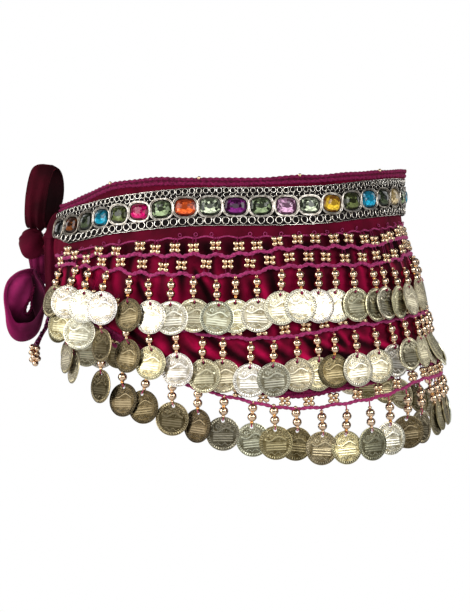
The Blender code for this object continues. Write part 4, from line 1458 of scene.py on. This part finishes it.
# neck, where the ribbon is gathered under the knot
points = []
path = [np.array((-153.0 + 0.25 * t, -0.6 + 0.2 * t, -34.0 - 2.9 * t)) for t in np.linspace(0, 5, 11)]
neck_pile = Pile()
for side, deep in ((-4.4, 0.5), (-1.5, -1.2), (1.6, 0.6), (4.4, -0.8)):
    strand = [p + np.array((side * (1 - 0.03 * i), deep, 0)) for i, p in enumerate(path)]
    neck_pile.add(tube(strand, 2.3, 10))
# its fold beside the strap, down into the loop
fold_down = [np.array((-150.2 + 3.2 * t, 1.0 + 1.2 * t, -37.0 - 19.0 * t)) for t in np.linspace(0, 1, 9)]
neck_pile.add(tube(fold_down, 2.9, 10))
neck = neck_pile.make("bow_neck_cloth", [velvet_loop])

# the panel's ends, drawn into the knot
ends = []
for name, angle, reach in (("tie_front", RING_START, -1), ("tie_back", RING_END, 1)):
    path, across = [], []
    start = on_figure(angle + reach * 0.2, -15.0, VELVET / 2)
    end = KNOT + np.array((9.0, 5.0 * reach, 0.6))
    for t in range(21):
        u = t / 20
        spot = start + (end - start) * u
        spot[0] -= 1.6 * math.sin(math.pi * u)
        spot[2] = -15.0 + (end[2] + 15.0) * step(0, 1, u)
        path.append(spot)
        across.append(np.array((0, 0, 13.5 - 6.0 * step(0, 1, u))))
    ends.append(cloth_ribbon(name, path, across, lambda u, v: 1.1 * u * math.sin(7 * v + 1.5), 1.4, [velvet_bow], False))

# the tail that hangs beside the knot
path, across = [], []
for k in range(31):
    t = 6.0 * k / 30
    path.append(np.array((-140.9 - 0.5 * math.sin(t * 1.1), -18.5 + 4.0 * step(0, 2.5, t) - 0.3 * t, -21.0 - 9.0 * t)))
    across.append(np.array((4.2 + 0.1 * t, -0.6, 0)))
tail = cloth_ribbon("tie_tail_cloth", path, across, lambda u, v: 0.7 * math.sin(4 * v + 1.0 + u) + 0.4 * (1 - v * v), 1.3, [velvet_bow], False)

# crochet along the ribbon's edge, seen inside the lower loop
pile = Pile()
rope = [loop_point(2 * math.pi * k / 150, 0.96) + np.array((0, -1.6, 0)) for k in range(150)]
pile.add(tube(rope, 1.15, 6, closed=True, ply=0.2, pitch=3))
for k in range(0, 150, 5):
    pile.add(torus(1.1, 0.34, 8, 4), spin((0.3, 1, 0.2), 70 + 9 * k), rope[k] + np.array((0, -0.9, 0)))
rim = pile.make("bow_crochet", [crochet_fuzz])

for piece, node in (
    (upper_loop, "bow_loop_upper"), (lower_loop, "bow_loop_lower"), (knot, "bow_knot"), (neck, "bow_neck"),
    (ends[0], "tie_end_front"), (ends[1], "tie_end_back"), (tail, "tie_tail"),
):
    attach(piece, "root")
    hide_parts(node)
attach(rim, "root")

# the thin beaded tie cord behind the lower loop
TIE_CORD = {
    "x": (-150.0, -145.5, -143.6, -144.0, -146.6, -151.0, -154.2, -155.4),
    "y": (13.2, 16.0, 22.0, 24.0, 21.0, 12.0, 5.0, 3.0),
    "height": (-28, -42, -58, -76, -88, -97, -105, -115),
}
route = []
for k in range(30):
    down = -28 + (-115 + 28) * k / 29
    route.append(np.array((column(TIE_CORD, "height", "x", down), column(TIE_CORD, "height", "y", down), down)))
shape = tube(route, 1.9, 10, ply=0.22, pitch=5)
tie = mesh_from("tie_cord_yarn", shape[0], shape[1], shape[2], [crochet_fuzz])
pile = Pile()
for k, spot in enumerate(route[14:26]):
    pile.add(ball(1.5, 1.5, 1.5, 10, 7), None, spot + np.array((0.4 if k % 2 else -0.6, -1.9, 0)), slot=0)
for dx, dy, dz in ((-1.9, 0, -104.6), (1.8, -1, -105.6), (-2.4, -1, -108.8), (1.5, 0, -109.8), (-0.6, -2, -112.2), (2.3, -1, -113.6), (-2.2, 0, -114.4), (0.4, -1, -117.2)):
    pile.add(ball(2.5, 2.5, 2.4, 14, 9), None, np.array((-154.4 + dx, 2.6 + dy, dz)), slot=1)
tie_beads = pile.make("tie_cord_beads", [dark_bead, gold])
for piece in (tie, tie_beads):
    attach(piece, "root")
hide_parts("tie_cord")

# ---------------------------------------------------------------- floor and light

floor_mesh = bpy.data.meshes.new("floor")
floor_mesh.from_pydata([(-3, -3, -0.95), (3, -3, -0.95), (3, 3, -0.95), (-3, 3, -0.95)], [], [(0, 1, 2, 3)])
floor = bpy.data.objects.new("floor", floor_mesh)
bpy.context.scene.collection.objects.link(floor)
pale, nodes, links, shader = principled("pale floor")
shader.inputs["Base Color"].default_value = (0.86, 0.86, 0.87, 1)
shader.inputs["Roughness"].default_value = 0.7
floor_mesh.materials.append(pale)

world = bpy.data.worlds.new("studio")
bpy.context.scene.world = world
world.use_nodes = True
nodes, links = world.node_tree.nodes, world.node_tree.links
seen = nodes["Background"]
seen.inputs["Color"].default_value = (1, 1, 1, 1)
seen.inputs["Strength"].default_value = 1.0
lit = nodes.new("ShaderNodeBackground")
lit.inputs["Color"].default_value = (0.80, 0.85, 0.92, 1)
lit.inputs["Strength"].default_value = 0.13
rays = nodes.new("ShaderNodeLightPath")
choose = nodes.new("ShaderNodeMixShader")
links.new(rays.outputs["Is Camera Ray"], choose.inputs["Fac"])
links.new(lit.outputs["Background"], choose.inputs[1])
links.new(seen.outputs["Background"], choose.inputs[2])
links.new(choose.outputs["Shader"], nodes["World Output"].inputs["Surface"])


def soft_light(name, at, size, power, colour=(1, 1, 1), aim=(0, 0, -0.06)):
    data = bpy.data.lights.new(name, "AREA")
    data.shape = "RECTANGLE"
    data.size, data.size_y = size
    data.energy = power
    data.color = colour
    made = bpy.data.objects.new(name, data)
    made.location = at
    made.rotation_euler = (Vector(aim) - Vector(at)).to_track_quat("-Z", "Y").to_euler()
    bpy.context.scene.collection.objects.link(made)


soft_light("key right", (1.35, -1.45, 0.55), (0.8, 1.2), 27)
soft_light("fill left", (-1.7, -0.85, 0.35), (1.1, 1.6), 36)
soft_light("front", (-0.1, -2.4, 0.55), (1.5, 1.1), 17)
soft_light("back left", (-1.3, 1.2, 0.5), (0.8, 1.2), 8)
soft_light("back right", (1.5, 1.1, 0.5), (0.8, 1.2), 6)

scene = bpy.context.scene
scene.view_settings.view_transform = "Standard"
scene.view_settings.look = "None"
scene.view_settings.exposure = 0.0
